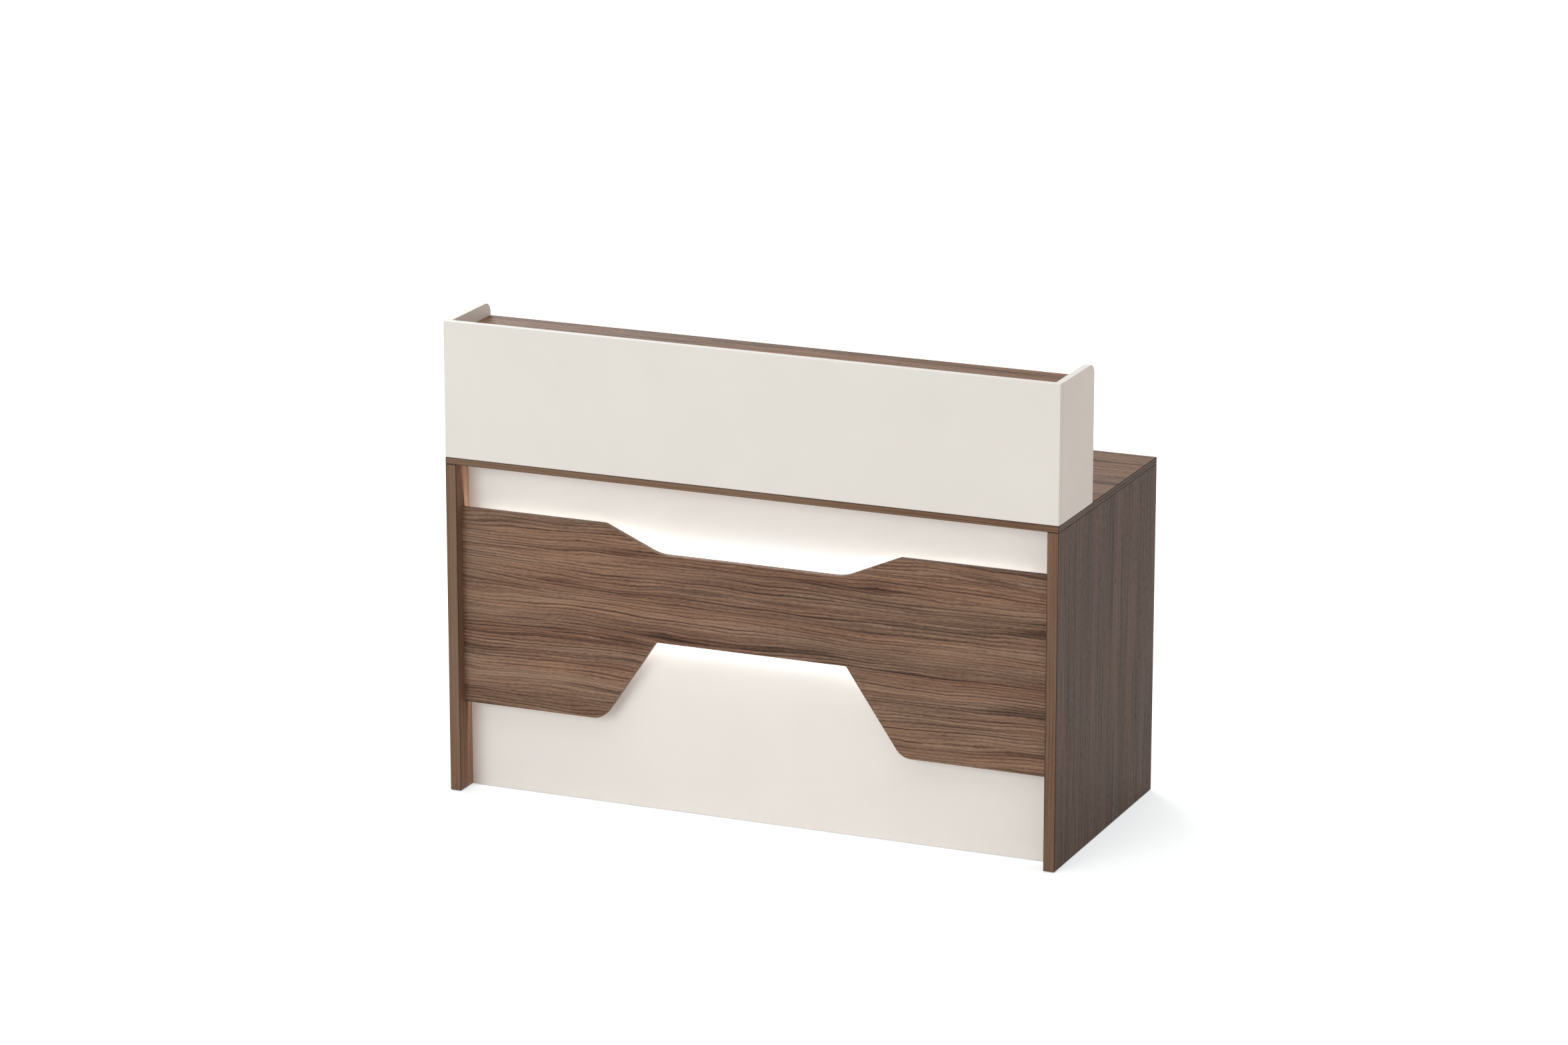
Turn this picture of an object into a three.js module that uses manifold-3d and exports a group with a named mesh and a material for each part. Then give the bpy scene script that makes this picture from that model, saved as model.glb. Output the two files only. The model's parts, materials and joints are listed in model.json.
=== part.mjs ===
// Reception desk: walnut end panels and worktop, a raised white counter, and a notched walnut fascia
// that stands off a white front panel and is lit from behind. Sizes are millimetres, +Z is up,
// the visitor's side faces -Y, and the origin is on the floor under the middle of the desk.

import * as THREE from 'three';
import { mergeVertices } from 'three/addons/utils/BufferGeometryUtils.js';
import Module from 'manifold-3d';

const wasm = await Module();
wasm.setup();

// Overall sizes
const deskWidth = 1400;
const deskDepth = 600;
const worktopHeight = 750; // top face of the worktop above the floor
const counterHeight = 300; // counter box above the worktop
const counterDepth = 200;

// Boards
const endPanelThickness = 25;
const worktopThickness = 15;
const frontPanelThickness = 15;
const fasciaThickness = 15;
const counterBoardThickness = 15;
const shelfThickness = 15;
const shelfDrop = 30; // shelf's top face below the counter's rim
const cheekCornerRadius = 25;
const railThickness = 18;
const railHeight = 80;
const railInset = 40; // rail's staff face back from the worktop's rear edge

// Fascia: how it stands in the recess, and its outline
const fasciaSetback = 25; // behind the front edges of the end panels
const lightGap = 18; // between the fascia and the white front panel
const fasciaTopGap = 101; // between the fascia's wings and the worktop
const fasciaHeight = 435;
const upperNotchDepth = 54;
const upperNotchMouth = 676;
const upperNotchFloor = 422;
const lowerNotchHeight = 186;
const lowerNotchMouth = 692;
const lowerNotchTop = 438;
const waistFilletRadius = 100;
const wingCornerRadius = 40;

// Light line: a batten spaces the fascia off and carries an aluminium channel with a strip and a diffuser
const battenHeight = 36;
const channelWidth = 16;
const channelHeight = 8;
const channelFloor = 1.5;
const channelRim = 1.2; // wall beside the diffuser
const channelLedge = 1; // step under the diffuser
const channelEndGap = 30; // between a channel's end and the end panel
const diffuserThickness = 2;
const diffuserRecess = 6; // diffuser's face inside the fascia's edge
const stripWidth = 10;
const stripThickness = 1.2;
const stripEndGap = 5; // between the strip's end and the channel's end

// Driver with its switch, behind the front panel
const driverLength = 150;
const driverHeight = 43;
const driverDepth = 28;
const driverCorner = 4;
const driverFromEnd = 130; // driver's end face from the end panel
const inletFromFace = 14; // mains inlet's middle from the front panel
const inletRadius = 4.5;
const inletSpread = 8.6; // between the inlet's two pins
const inletDepth = 12;
const inletPinRadius = 1.2;
const inletPinLength = 10;
const leadSpread = 18; // between the two leads where they enter the driver
const leadSocketDepth = 6;

// Rocker switch in the driver's face
const rockerLength = 20;
const rockerWidth = 13;
const rockerEdgeRise = 5; // rocker's end corners above its pivot
const rockerWaistRise = 3.4; // middle of the rocker's face above its pivot
const rockerDrop = 4.6; // rocker's keel below its pivot
const rockerTilt = 10; // degrees either side of level
const rockerPinRadius = 1.3;
const rockerPinLength = 0.8;
const switchFromMiddle = 40; // switch's middle from the driver's middle
const switchWall = 1.6;
const switchFlange = 1.6; // thickness of the flange on the driver's face
const switchLip = 2; // flange's reach past the housing
const switchPocket = 11; // depth of the opening
const pivotDepth = 4.5; // pivot below the flange's face

// Leads between the strips and the driver
const leadDiameter = 3;
const leadBend = 7;
const leadTurnOut = 15; // bore in the front panel past the channel's end
const leadSteps = 30;
const leadSides = 8;

// Levelling glides in the end panels' lower edges
const footProud = 1; // boards above the floor at the glides' highest setting
const glideInset = 40; // glide's axis from the desk's front or rear edge
const padDiameter = 18;
const padHeight = 5;
const padFloor = 2;
const padChamfer = 0.6;
const keyHoleDiameter = 6.4;
const studDiameter = 8;
const studLength = 42;
const studChamfer = 1;
const hexAcrossFlats = 5;
const hexDepth = 4;
const insertDiameter = 12;
const insertLength = 20;

// Cable grommet in the worktop, behind the counter
const grommetHole = 60;
const grommetFromEnd = 245; // grommet's axis from the right end panel
const grommetFromCounter = 70; // grommet's axis behind the counter's rear edge
const linerWall = 2;
const linerFlange = 5; // flange's reach past the hole
const linerFlangeThickness = 2.5;
const linerDepth = 22; // liner below the worktop's top face
const ledgeWidth = 2.2;
const ledgeDepth = 3; // ledge's top below the worktop's top face
const ledgeThickness = 2;
const capThickness = 5;
const capChamfer = 0.6;
const cableSlotWidth = 16;
const cableSlotReach = 20; // slot's length in from the cap's rim

// Cam fittings: a cam in one board's face draws a bolt in from the other board
const camDiameter = 15;
const camDepth = 12;
const camSetback = 34; // cam's axis from the edge where the boards meet
const camBoltDepth = 7.5; // bolt's axis below the cam's face
const camBoltDiameter = 6;
const camBoltNeck = 4;
const camBoltNeckLength = 4;
const camBoltHeadLength = 3;
const camBoltBite = 10; // bolt's thread in the other board
const camSlotLength = 9;
const camSlotWidth = 1.6;
const camSlotDepth = 1.6;
const panelCamInset = 60; // front panel's cams from its upper and lower edges
const worktopCamInset = 110; // end panels' cams from the desk's rear edge

// Screws
const screwDiameter = 4;
const screwHeadDiameter = 8;
const screwHeadHeight = 2.4;
const screwRimHeight = 1.2; // straight rim of a pan head
const screwCrownDiameter = 6; // flat top of a pan head
const screwTip = 4;
const screwSlotLength = 5;
const screwSlotWidth = 1;
const screwSlotDepth = 1.2;
const fasciaScrewBite = 10;
const fasciaScrewFromEnd = 150; // fascia's screws from the battens' ends
const counterScrewBite = 30;
const counterScrewFromEnd = 250; // front board's screws from its ends
const counterScrewInset = 30; // cheek screw from the counter's rear edge

// Fits
const clearance = 0.3; // between a fitting and the board or piece it sits in
const overrun = 1; // how far a cutting shape runs past a face
const boreSides = 16;
const ringSides = 36;
const arcSteps = 8;

// Places worked out from the sizes above
const halfWidth = deskWidth / 2;
const halfDepth = deskDepth / 2;
const innerFace = halfWidth - endPanelThickness;
const worktopUnderside = worktopHeight - worktopThickness;
const counterTop = worktopHeight + counterHeight;
const counterRear = counterDepth - halfDepth;
const counterFrontRear = counterBoardThickness - halfDepth;
const cheekInner = halfWidth - counterBoardThickness;
const shelfTop = counterTop - shelfDrop;
const fasciaFront = fasciaSetback - halfDepth;
const fasciaRear = fasciaFront + fasciaThickness;
const frontPanelFace = fasciaRear + lightGap;
const frontPanelRear = frontPanelFace + frontPanelThickness;
const fasciaTop = worktopUnderside - fasciaTopGap;
const fasciaBottom = fasciaTop - fasciaHeight;
const waistTop = fasciaTop - upperNotchDepth;
const waistBottom = fasciaBottom + lowerNotchHeight;
const lightMiddle = fasciaRear + lightGap / 2;
const channelEnd = innerFace - channelEndGap;
const stripEnd = channelEnd - stripEndGap;
const upperChannelBase = waistTop - diffuserRecess - channelHeight;
const lowerChannelBase = waistBottom + diffuserRecess + channelHeight;
const driverEnd = innerFace - driverFromEnd;
const driverStart = driverEnd - driverLength;
const driverMiddle = (waistTop + waistBottom) / 2;
const driverFace = frontPanelRear + driverDepth;

// A mesh of positions only: shared corners merged, triangles without area dropped
function welded(geometry) {
  const bare = geometry.clone();
  bare.deleteAttribute('normal');
  bare.deleteAttribute('uv');
  const merged = mergeVertices(bare);
  const kept = [];
  const index = merged.index.array;
  for (let i = 0; i < index.length; i += 3) {
    const [a, b, c] = index.slice(i, i + 3);
    if (a !== b && b !== c && c !== a) kept.push(a, b, c);
  }
  merged.setIndex(kept);
  return merged;
}

function toSolid(geometry) {
  const bare = welded(geometry);
  const mesh = new wasm.Mesh({
    numProp: 3,
    vertProperties: new Float32Array(bare.attributes.position.array),
    triVerts: new Uint32Array(bare.index.array),
  });
  return new wasm.Manifold(mesh);
}

function toGeometry(solid) {
  const mesh = solid.getMesh();
  const geometry = new THREE.BufferGeometry();
  geometry.setAttribute('position', new THREE.BufferAttribute(mesh.vertProperties, 3));
  geometry.setIndex(new THREE.BufferAttribute(mesh.triVerts, 1));
  return geometry;
}

function cut(geometry, tools) {
  let solid = toSolid(geometry);
  for (const tool of tools) solid = solid.subtract(toSolid(tool));
  return toGeometry(solid);
}

function join(geometries) {
  let solid = toSolid(geometries[0]);
  for (const other of geometries.slice(1)) solid = solid.add(toSolid(other));
  return toGeometry(solid);
}

// A box by its lowest and highest corners, so that boards meet on exactly the same numbers
function block(low, high) {
  const geometry = new THREE.BoxGeometry(1, 1, 1);
  const corner = geometry.attributes.position;
  for (let i = 0; i < corner.count; i += 1) {
    const x = corner.getX(i) < 0 ? low[0] : high[0];
    const y = corner.getY(i) < 0 ? low[1] : high[1];
    const z = corner.getZ(i) < 0 ? low[2] : high[2];
    corner.setXYZ(i, x, y, z);
  }
  return geometry;
}

// A round bar between two points
function bar(radius, start, end, sides = boreSides) {
  const from = new THREE.Vector3(...start);
  const to = new THREE.Vector3(...end);
  const along = to.clone().sub(from);
  const geometry = new THREE.CylinderGeometry(radius, radius, along.length(), sides);
  const turn = new THREE.Quaternion().setFromUnitVectors(new THREE.Vector3(0, 1, 0), along.normalize());
  const middle = from.add(to).multiplyScalar(0.5);
  return geometry.applyQuaternion(turn).translate(middle.x, middle.y, middle.z);
}

// A turned piece about +Z, from points of radius and height
function turned(profile, sides = boreSides) {
  const points = profile.map(([radius, height]) => new THREE.Vector2(radius, height));
  return welded(new THREE.LatheGeometry(points, sides).rotateX(Math.PI / 2));
}

// A turned ring: its profile closes on itself
function turnedRing(profile, sides = boreSides) {
  return turned([...profile, profile[0]], sides);
}

// A closed outline from corners [u, v, radius], listed counter-clockwise; a radius rounds its corner
function outline(corners) {
  const shape = new THREE.Shape();
  corners.forEach(([u, v, radius = 0], i) => {
    const here = new THREE.Vector2(u, v);
    const [backU, backV] = corners[(i + corners.length - 1) % corners.length];
    const [nextU, nextV] = corners[(i + 1) % corners.length];
    const inward = here.clone().sub(new THREE.Vector2(backU, backV)).normalize();
    const onward = new THREE.Vector2(nextU, nextV).sub(here).normalize();
    const turn = Math.atan2(inward.cross(onward), inward.dot(onward));
    const trim = radius * Math.tan(Math.abs(turn) / 2);
    const start = here.clone().addScaledVector(inward, -trim);
    if (i === 0) shape.moveTo(start.x, start.y);
    else shape.lineTo(start.x, start.y);
    if (radius === 0) return;
    const side = Math.sign(turn);
    const centre = start.clone().add(new THREE.Vector2(-inward.y, inward.x).multiplyScalar(side * radius));
    const first = Math.atan2(start.y - centre.y, start.x - centre.x);
    shape.absarc(centre.x, centre.y, radius, first, first + turn, turn < 0);
  });
  return shape;
}

// An outline in X and Z given thickness in Y
function upright(shape, low, high) {
  const settings = { depth: 1, bevelEnabled: false, curveSegments: arcSteps };
  const geometry = new THREE.ExtrudeGeometry(shape, settings);
  const corner = geometry.attributes.position;
  for (let i = 0; i < corner.count; i += 1) {
    const y = corner.getZ(i) < 0.5 ? high : low;
    corner.setXYZ(i, corner.getX(i), y, corner.getY(i));
  }
  return welded(geometry);
}

// An outline in Y and Z given length in X
function lengthwise(shape, low, high) {
  const settings = { depth: 1, bevelEnabled: false, curveSegments: arcSteps };
  const geometry = new THREE.ExtrudeGeometry(shape, settings);
  const corner = geometry.attributes.position;
  for (let i = 0; i < corner.count; i += 1) {
    const x = corner.getZ(i) < 0.5 ? low : high;
    corner.setXYZ(i, x, corner.getX(i), corner.getY(i));
  }
  return welded(geometry);
}

// Finishes
const finishes = {
  walnut: { color: '#735849', roughness: 0.5, metalness: 0 },
  white: { color: '#e5e0da', roughness: 0.45, metalness: 0 },
  softwood: { color: '#c9a678', roughness: 0.7, metalness: 0 },
  aluminium: { color: '#c4c6c8', roughness: 0.35, metalness: 0.9 },
  circuit: { color: '#efe9d2', roughness: 0.5, metalness: 0 },
  opal: { color: '#fff6ea', roughness: 0.4, metalness: 0 },
  black: { color: '#232325', roughness: 0.5, metalness: 0 },
  steel: { color: '#a9abad', roughness: 0.35, metalness: 0.9 },
  zinc: { color: '#b9b7b0', roughness: 0.45, metalness: 0.8 },
  brass: { color: '#b89a57', roughness: 0.4, metalness: 0.9 },
  nylon: { color: '#2c2c2e', roughness: 0.55, metalness: 0 },
  grey: { color: '#8d8b88', roughness: 0.5, metalness: 0 },
};

const desk = new THREE.Group();

function add(name, geometry, finish) {
  const mesh = new THREE.Mesh(geometry, new THREE.MeshStandardMaterial(finishes[finish]));
  mesh.name = name;
  desk.add(mesh);
  return mesh;
}

// The frame of a fitting: its own Z points along outward and its own X along towards
function frameAt(at, outward, towards) {
  const z = new THREE.Vector3(...outward);
  const x = new THREE.Vector3(...towards);
  const y = z.clone().cross(x);
  return new THREE.Matrix4().makeBasis(x, y, z).setPosition(...at);
}

function place(mesh, frame) {
  frame.decompose(mesh.position, mesh.quaternion, mesh.scale);
}

// Cam fittings: where each one is, the board that holds the cam and the board that holds the bolt
const camFittings = [];
const panelCamHeights = {
  upper: worktopUnderside - panelCamInset,
  lower: footProud + panelCamInset,
};
const sides = { left: -1, right: 1 };
for (const [height, z] of Object.entries(panelCamHeights)) {
  for (const [side, sign] of Object.entries(sides)) {
    camFittings.push({
      cam: `panel_cam_${height}_${side}`,
      bolt: `panel_cam_bolt_${height}_${side}`,
      host: 'front_panel',
      mate: `${side}_end_panel`,
      frame: frameAt([sign * (innerFace - camSetback), frontPanelRear, z], [0, 1, 0], [sign, 0, 0]),
    });
  }
}
const worktopCamHeight = worktopUnderside - camSetback;
const worktopCamY = halfDepth - worktopCamInset;
for (const [side, sign] of Object.entries(sides)) {
  camFittings.push({
    cam: `worktop_cam_${side}`,
    bolt: `worktop_cam_bolt_${side}`,
    host: `${side}_end_panel`,
    mate: 'worktop',
    frame: frameAt([sign * innerFace, worktopCamY, worktopCamHeight], [-sign, 0, 0], [0, 0, 1]),
  });
}
camFittings.push({
  cam: 'worktop_cam_front',
  bolt: 'worktop_cam_bolt_front',
  host: 'front_panel',
  mate: 'worktop',
  frame: frameAt([0, frontPanelRear, worktopCamHeight], [0, 1, 0], [0, 0, 1]),
});

const camBoltRadius = camBoltDiameter / 2;
const camBoltTip = camSetback + camBoltBite;

function camPockets(board) {
  return camFittings.filter((fitting) => fitting.host === board).flatMap((fitting) => {
    const pocketRadius = camDiameter / 2 + clearance;
    const pocket = bar(pocketRadius, [0, 0, -camDepth - clearance], [0, 0, overrun]);
    const boreEnd = [camSetback + overrun, 0, -camBoltDepth];
    const bore = bar(camBoltRadius + clearance, [0, 0, -camBoltDepth], boreEnd);
    return [pocket.applyMatrix4(fitting.frame), bore.applyMatrix4(fitting.frame)];
  });
}

function camBoltHoles(board) {
  return camFittings.filter((fitting) => fitting.mate === board).map((fitting) => {
    const mouth = [camSetback - overrun, 0, -camBoltDepth];
    const bottom = [camBoltTip + clearance, 0, -camBoltDepth];
    return bar(camBoltRadius + clearance, mouth, bottom).applyMatrix4(fitting.frame);
  });
}

// Levelling glides: one near each end of each end panel's lower edge
const glides = [];
const glideX = halfWidth - endPanelThickness / 2;
const ends = { front: -1, rear: 1 };
for (const [end, endSign] of Object.entries(ends)) {
  for (const [side, sideSign] of Object.entries(sides)) {
    glides.push({
      name: `${end}_${side}`,
      board: `${side}_end_panel`,
      x: sideSign * glideX,
      y: endSign * (halfDepth - glideInset),
    });
  }
}
const glideCeiling = padHeight + clearance;
const insertTop = glideCeiling + insertLength;
const studFoot = padFloor + clearance;
const studTop = studFoot + studLength;

function glideBores(board) {
  return glides.filter((glide) => glide.board === board).flatMap(({ x, y }) => [
    bar(padDiameter / 2 + clearance, [x, y, footProud - overrun], [x, y, glideCeiling]),
    bar(insertDiameter / 2 + clearance, [x, y, footProud], [x, y, insertTop + clearance]),
    bar(studDiameter / 2 + clearance, [x, y, footProud], [x, y, studTop + clearance]),
  ]);
}

// End panels
for (const [side, sign] of Object.entries(sides)) {
  const name = `${side}_end_panel`;
  const xs = [sign * innerFace, sign * halfWidth].sort((a, b) => a - b);
  const board = block([xs[0], -halfDepth, footProud], [xs[1], halfDepth, worktopUnderside]);
  add(name, cut(board, [...camPockets(name), ...camBoltHoles(name), ...glideBores(name)]), 'walnut');
}

// Screws: each has its seat, the way it points and its bores in the boards that it passes
function screwProfile(length, flush) {
  const shank = screwDiameter / 2;
  const head = screwHeadDiameter / 2;
  const flushHead = [[0, 0], [head, 0], [shank, head - shank]];
  const crown = [[0, -screwHeadHeight], [screwCrownDiameter / 2, -screwHeadHeight], [head, -screwRimHeight]];
  const panHead = [...crown, [head, 0], [shank, 0]];
  return [...(flush ? flushHead : panHead), [shank, length - screwTip], [0, length]];
}

function screwGeometry(length, flush) {
  const top = flush ? 0 : -screwHeadHeight;
  const reach = screwSlotLength / 2;
  const half = screwSlotWidth / 2;
  const along = block([-reach, -half, top - overrun], [reach, half, top + screwSlotDepth]);
  const across = block([-half, -reach, top - overrun], [half, reach, top + screwSlotDepth]);
  return cut(turned(screwProfile(length, flush)), [along, across]);
}

const fasciaScrewLength = frontPanelThickness + lightGap + fasciaScrewBite;
const battens = {
  upper: [upperChannelBase - battenHeight, upperChannelBase],
  lower: [lowerChannelBase, lowerChannelBase + battenHeight],
};
const fasciaScrews = [];
for (const [height, [low, high]] of Object.entries(battens)) {
  for (const [side, sign] of Object.entries(sides)) {
    fasciaScrews.push({
      name: `fascia_screw_${height}_${side}`,
      batten: height,
      x: sign * (channelEnd - fasciaScrewFromEnd),
      z: (low + high) / 2,
    });
  }
}
const fasciaScrewEnd = frontPanelRear - fasciaScrewLength;
const screwBoreRadius = screwDiameter / 2 + clearance;

function fasciaScrewBores(screws) {
  return screws.map(({ x, z }) => (
    bar(screwBoreRadius, [x, fasciaScrewEnd - clearance, z], [x, frontPanelRear + overrun, z])
  ));
}

const counterScrews = [];
for (const [side, sign] of Object.entries(sides)) {
  counterScrews.push({
    name: `counter_screw_front_${side}`,
    board: 'counter_front_panel',
    x: sign * (halfWidth - counterScrewFromEnd),
    y: counterBoardThickness / 2 - halfDepth,
  });
  counterScrews.push({
    name: `counter_screw_cheek_${side}`,
    board: `counter_${side}_cheek`,
    x: sign * (halfWidth - counterBoardThickness / 2),
    y: counterRear - counterScrewInset,
  });
}
const counterScrewSeat = worktopUnderside + clearance;
const counterScrewLength = worktopThickness + counterScrewBite;
const counterScrewEnd = counterScrewSeat + counterScrewLength;

function counterScrewBores(screws) {
  return screws.map(({ x, y }) => (
    bar(screwBoreRadius, [x, y, worktopUnderside - overrun], [x, y, counterScrewEnd + clearance])
  ));
}

function countersinks(screws) {
  const head = screwHeadDiameter / 2 + clearance;
  const profile = [[0, 0], [head, 0], [head, clearance], [0, head + clearance]];
  return screws.map(({ x, y }) => turned(profile).translate(x, y, worktopUnderside));
}

// Worktop, with its grommet hole
const grommetX = innerFace - grommetFromEnd;
const grommetY = counterRear + grommetFromCounter;
const grommetRadius = grommetHole / 2;
const worktopHigh = [halfWidth, halfDepth, worktopHeight];
const worktopBoard = block([-halfWidth, -halfDepth, worktopUnderside], worktopHigh);
const grommetFoot = [grommetX, grommetY, worktopUnderside - overrun];
const grommetHead = [grommetX, grommetY, worktopHeight + overrun];
const worktopCuts = [
  bar(grommetRadius, grommetFoot, grommetHead, ringSides),
  ...camBoltHoles('worktop'),
  ...counterScrewBores(counterScrews),
  ...countersinks(counterScrews),
];
add('worktop', cut(worktopBoard, worktopCuts), 'walnut');

// White front panel, with bores for the fascia's screws and the two leads
const leadRadius = leadDiameter / 2;
const leadX = channelEnd + leadTurnOut;
const upperLeadZ = upperChannelBase + channelFloor + stripThickness + leadRadius;
const lowerLeadZ = lowerChannelBase - channelFloor - stripThickness - leadRadius;
const leadBores = [upperLeadZ, lowerLeadZ].map((z) => (
  bar(leadRadius + 2 * clearance, [leadX, frontPanelFace - overrun, z], [leadX, frontPanelRear + overrun, z])
));
const frontHigh = [innerFace, frontPanelRear, worktopUnderside];
const frontBoard = block([-innerFace, frontPanelFace, footProud], frontHigh);
const frontCuts = [...camPockets('front_panel'), ...fasciaScrewBores(fasciaScrews), ...leadBores];
add('front_panel', cut(frontBoard, frontCuts), 'white');

// Fascia: wings at both ends and a waist between an upper and a lower notch
const rightHalf = [
  [lowerNotchTop / 2, waistBottom],
  [lowerNotchMouth / 2, fasciaBottom, wingCornerRadius],
  [innerFace, fasciaBottom],
  [innerFace, fasciaTop],
  [upperNotchMouth / 2, fasciaTop],
  [upperNotchFloor / 2, waistTop, waistFilletRadius],
];
const leftHalf = rightHalf.map(([x, z, radius]) => [-x, z, radius]).reverse();
const fasciaBoard = upright(outline([...rightHalf, ...leftHalf]), fasciaFront, fasciaRear);
add('fascia_panel', cut(fasciaBoard, fasciaScrewBores(fasciaScrews)), 'walnut');

// Spacer battens between the fascia and the front panel
for (const [height, [low, high]] of Object.entries(battens)) {
  const stick = block([-channelEnd, fasciaRear, low], [channelEnd, frontPanelFace, high]);
  const through = fasciaScrewBores(fasciaScrews.filter((screw) => screw.batten === height));
  add(`${height}_spacer_batten`, cut(stick, through), 'softwood');
}

for (const { name, x, z } of fasciaScrews) {
  const screw = add(name, screwGeometry(fasciaScrewLength, false), 'steel');
  place(screw, frameAt([x, frontPanelRear, z], [0, -1, 0], [1, 0, 0]));
}

for (const { name, x, y } of counterScrews) {
  const screw = add(name, screwGeometry(counterScrewLength, true), 'steel');
  screw.position.set(x, y, counterScrewSeat);
}

// Counter: a front board across two cheeks, with a shelf between them
const counterHigh = [halfWidth, counterFrontRear, counterTop];
const counterFront = block([-halfWidth, -halfDepth, worktopHeight], counterHigh);
const screwsIn = (board) => counterScrewBores(counterScrews.filter((screw) => screw.board === board));
add('counter_front_panel', cut(counterFront, screwsIn('counter_front_panel')), 'white');

const cheekOutline = [
  [counterFrontRear, worktopHeight],
  [counterRear, worktopHeight],
  [counterRear, counterTop, cheekCornerRadius],
  [counterFrontRear, counterTop],
];
for (const [side, sign] of Object.entries(sides)) {
  const name = `counter_${side}_cheek`;
  const xs = [sign * cheekInner, sign * halfWidth].sort((a, b) => a - b);
  add(name, cut(lengthwise(outline(cheekOutline), ...xs), screwsIn(name)), 'white');
}
const shelfLow = [-cheekInner, counterFrontRear, shelfTop - shelfThickness];
add('counter_shelf', block(shelfLow, [cheekInner, counterRear, shelfTop]), 'walnut');

// Stiffener rail under the worktop's rear edge
const railRear = halfDepth - railInset;
const railLow = [-innerFace, railRear - railThickness, worktopUnderside - railHeight];
add('stiffener_rail', block(railLow, [innerFace, railRear, worktopUnderside]), 'walnut');

// Light lines: the upper one opens upwards and the lower one downwards
const channelInside = channelWidth / 2 - channelRim;
const ledgeInside = channelInside - channelLedge;
const ledgeHeight = channelHeight - diffuserThickness - clearance;
const channelHalf = [
  [channelWidth / 2, 0],
  [channelWidth / 2, channelHeight],
  [channelInside, channelHeight],
  [channelInside, ledgeHeight],
  [ledgeInside, ledgeHeight],
  [ledgeInside, channelFloor],
];
const channelSection = [...channelHalf, ...channelHalf.map(([y, h]) => [-y, h]).reverse()];
const diffuserHalfWidth = channelInside - clearance;
const diffuserBottom = channelHeight - diffuserThickness;
const diffuserSection = [
  [-diffuserHalfWidth, diffuserBottom],
  [diffuserHalfWidth, diffuserBottom],
  [diffuserHalfWidth, channelHeight],
  [-diffuserHalfWidth, channelHeight],
];
const stripSection = [
  [-stripWidth / 2, channelFloor],
  [stripWidth / 2, channelFloor],
  [stripWidth / 2, channelFloor + stripThickness],
  [-stripWidth / 2, channelFloor + stripThickness],
];

// A section in the light gap, standing on a base height or hung under it
function lightRun(section, base, up, reach) {
  const placed = section.map(([y, h]) => [lightMiddle + y, base + up * h]);
  const ordered = up > 0 ? placed : placed.reverse();
  return lengthwise(outline(ordered), -reach, reach);
}

const lightLines = { upper: [upperChannelBase, 1], lower: [lowerChannelBase, -1] };
for (const [height, [base, up]] of Object.entries(lightLines)) {
  add(`${height}_led_channel`, lightRun(channelSection, base, up, channelEnd), 'aluminium');
  add(`${height}_led_strip`, lightRun(stripSection, base, up, stripEnd), 'circuit');
  add(`${height}_diffuser`, lightRun(diffuserSection, base, up, channelEnd), 'opal');
}

// Driver: a potted case with a mains inlet in one end, lead sockets in the other and a switch in its face
const driverLow = driverMiddle - driverHeight / 2;
const driverHigh = driverMiddle + driverHeight / 2;
const driverOutline = [
  [frontPanelRear, driverLow],
  [driverFace, driverLow, driverCorner],
  [driverFace, driverHigh, driverCorner],
  [frontPanelRear, driverHigh],
];
const switchX = driverStart + driverLength / 2 - switchFromMiddle;
const tilt = THREE.MathUtils.degToRad(rockerTilt);
const rockerReach = Math.hypot(rockerLength / 2, rockerEdgeRise);
const rockerSweep = rockerReach * Math.cos(Math.atan2(rockerEdgeRise, rockerLength / 2) - tilt);
const openingHeight = rockerSweep + clearance; // half the switch's opening
const openingWidth = rockerWidth / 2 + clearance;
const housingHeight = openingHeight + switchWall;
const housingWidth = openingWidth + switchWall;
const flangeFace = driverFace + switchFlange;
const openingFloor = flangeFace - switchPocket;
const housingFoot = openingFloor - switchWall;
const switchLow = [switchX - housingWidth, housingFoot, driverMiddle - housingHeight];
const switchHigh = [switchX + housingWidth, driverFace, driverMiddle + housingHeight];
const switchHole = block(
  switchLow.map((value) => value - clearance),
  [switchHigh[0] + clearance, driverFace + overrun, switchHigh[2] + clearance],
);

const inletY = frontPanelRear + inletFromFace;
const inletEnds = [-1, 1].map((sign) => driverMiddle + sign * inletSpread / 2);
const inletFloor = driverStart + inletDepth;
const inletMouth = driverStart - overrun;
const inletCuts = inletEnds.map((z) => bar(inletRadius, [inletMouth, inletY, z], [inletFloor, inletY, z]));
inletCuts.push(block(
  [inletMouth, inletY - inletRadius, inletEnds[0]],
  [inletFloor, inletY + inletRadius, inletEnds[1]],
));
const inletPins = inletEnds.map((z) => (
  bar(inletPinRadius, [inletFloor - inletPinLength, inletY, z], [inletFloor + overrun, inletY, z])
));

const leadY = frontPanelRear + driverDepth / 2;
const leadEntry = driverEnd - leadSocketDepth;
const leadHeights = { upper: driverMiddle + leadSpread / 2, lower: driverMiddle - leadSpread / 2 };
const leadSockets = Object.values(leadHeights).map((z) => (
  bar(leadRadius + clearance, [leadEntry - clearance, leadY, z], [driverEnd + overrun, leadY, z])
));
const driverBody = lengthwise(outline(driverOutline), driverStart, driverEnd);
const driverCase = cut(driverBody, [switchHole, ...inletCuts, ...leadSockets]);
add('led_driver', join([driverCase, ...inletPins]), 'black');

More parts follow.
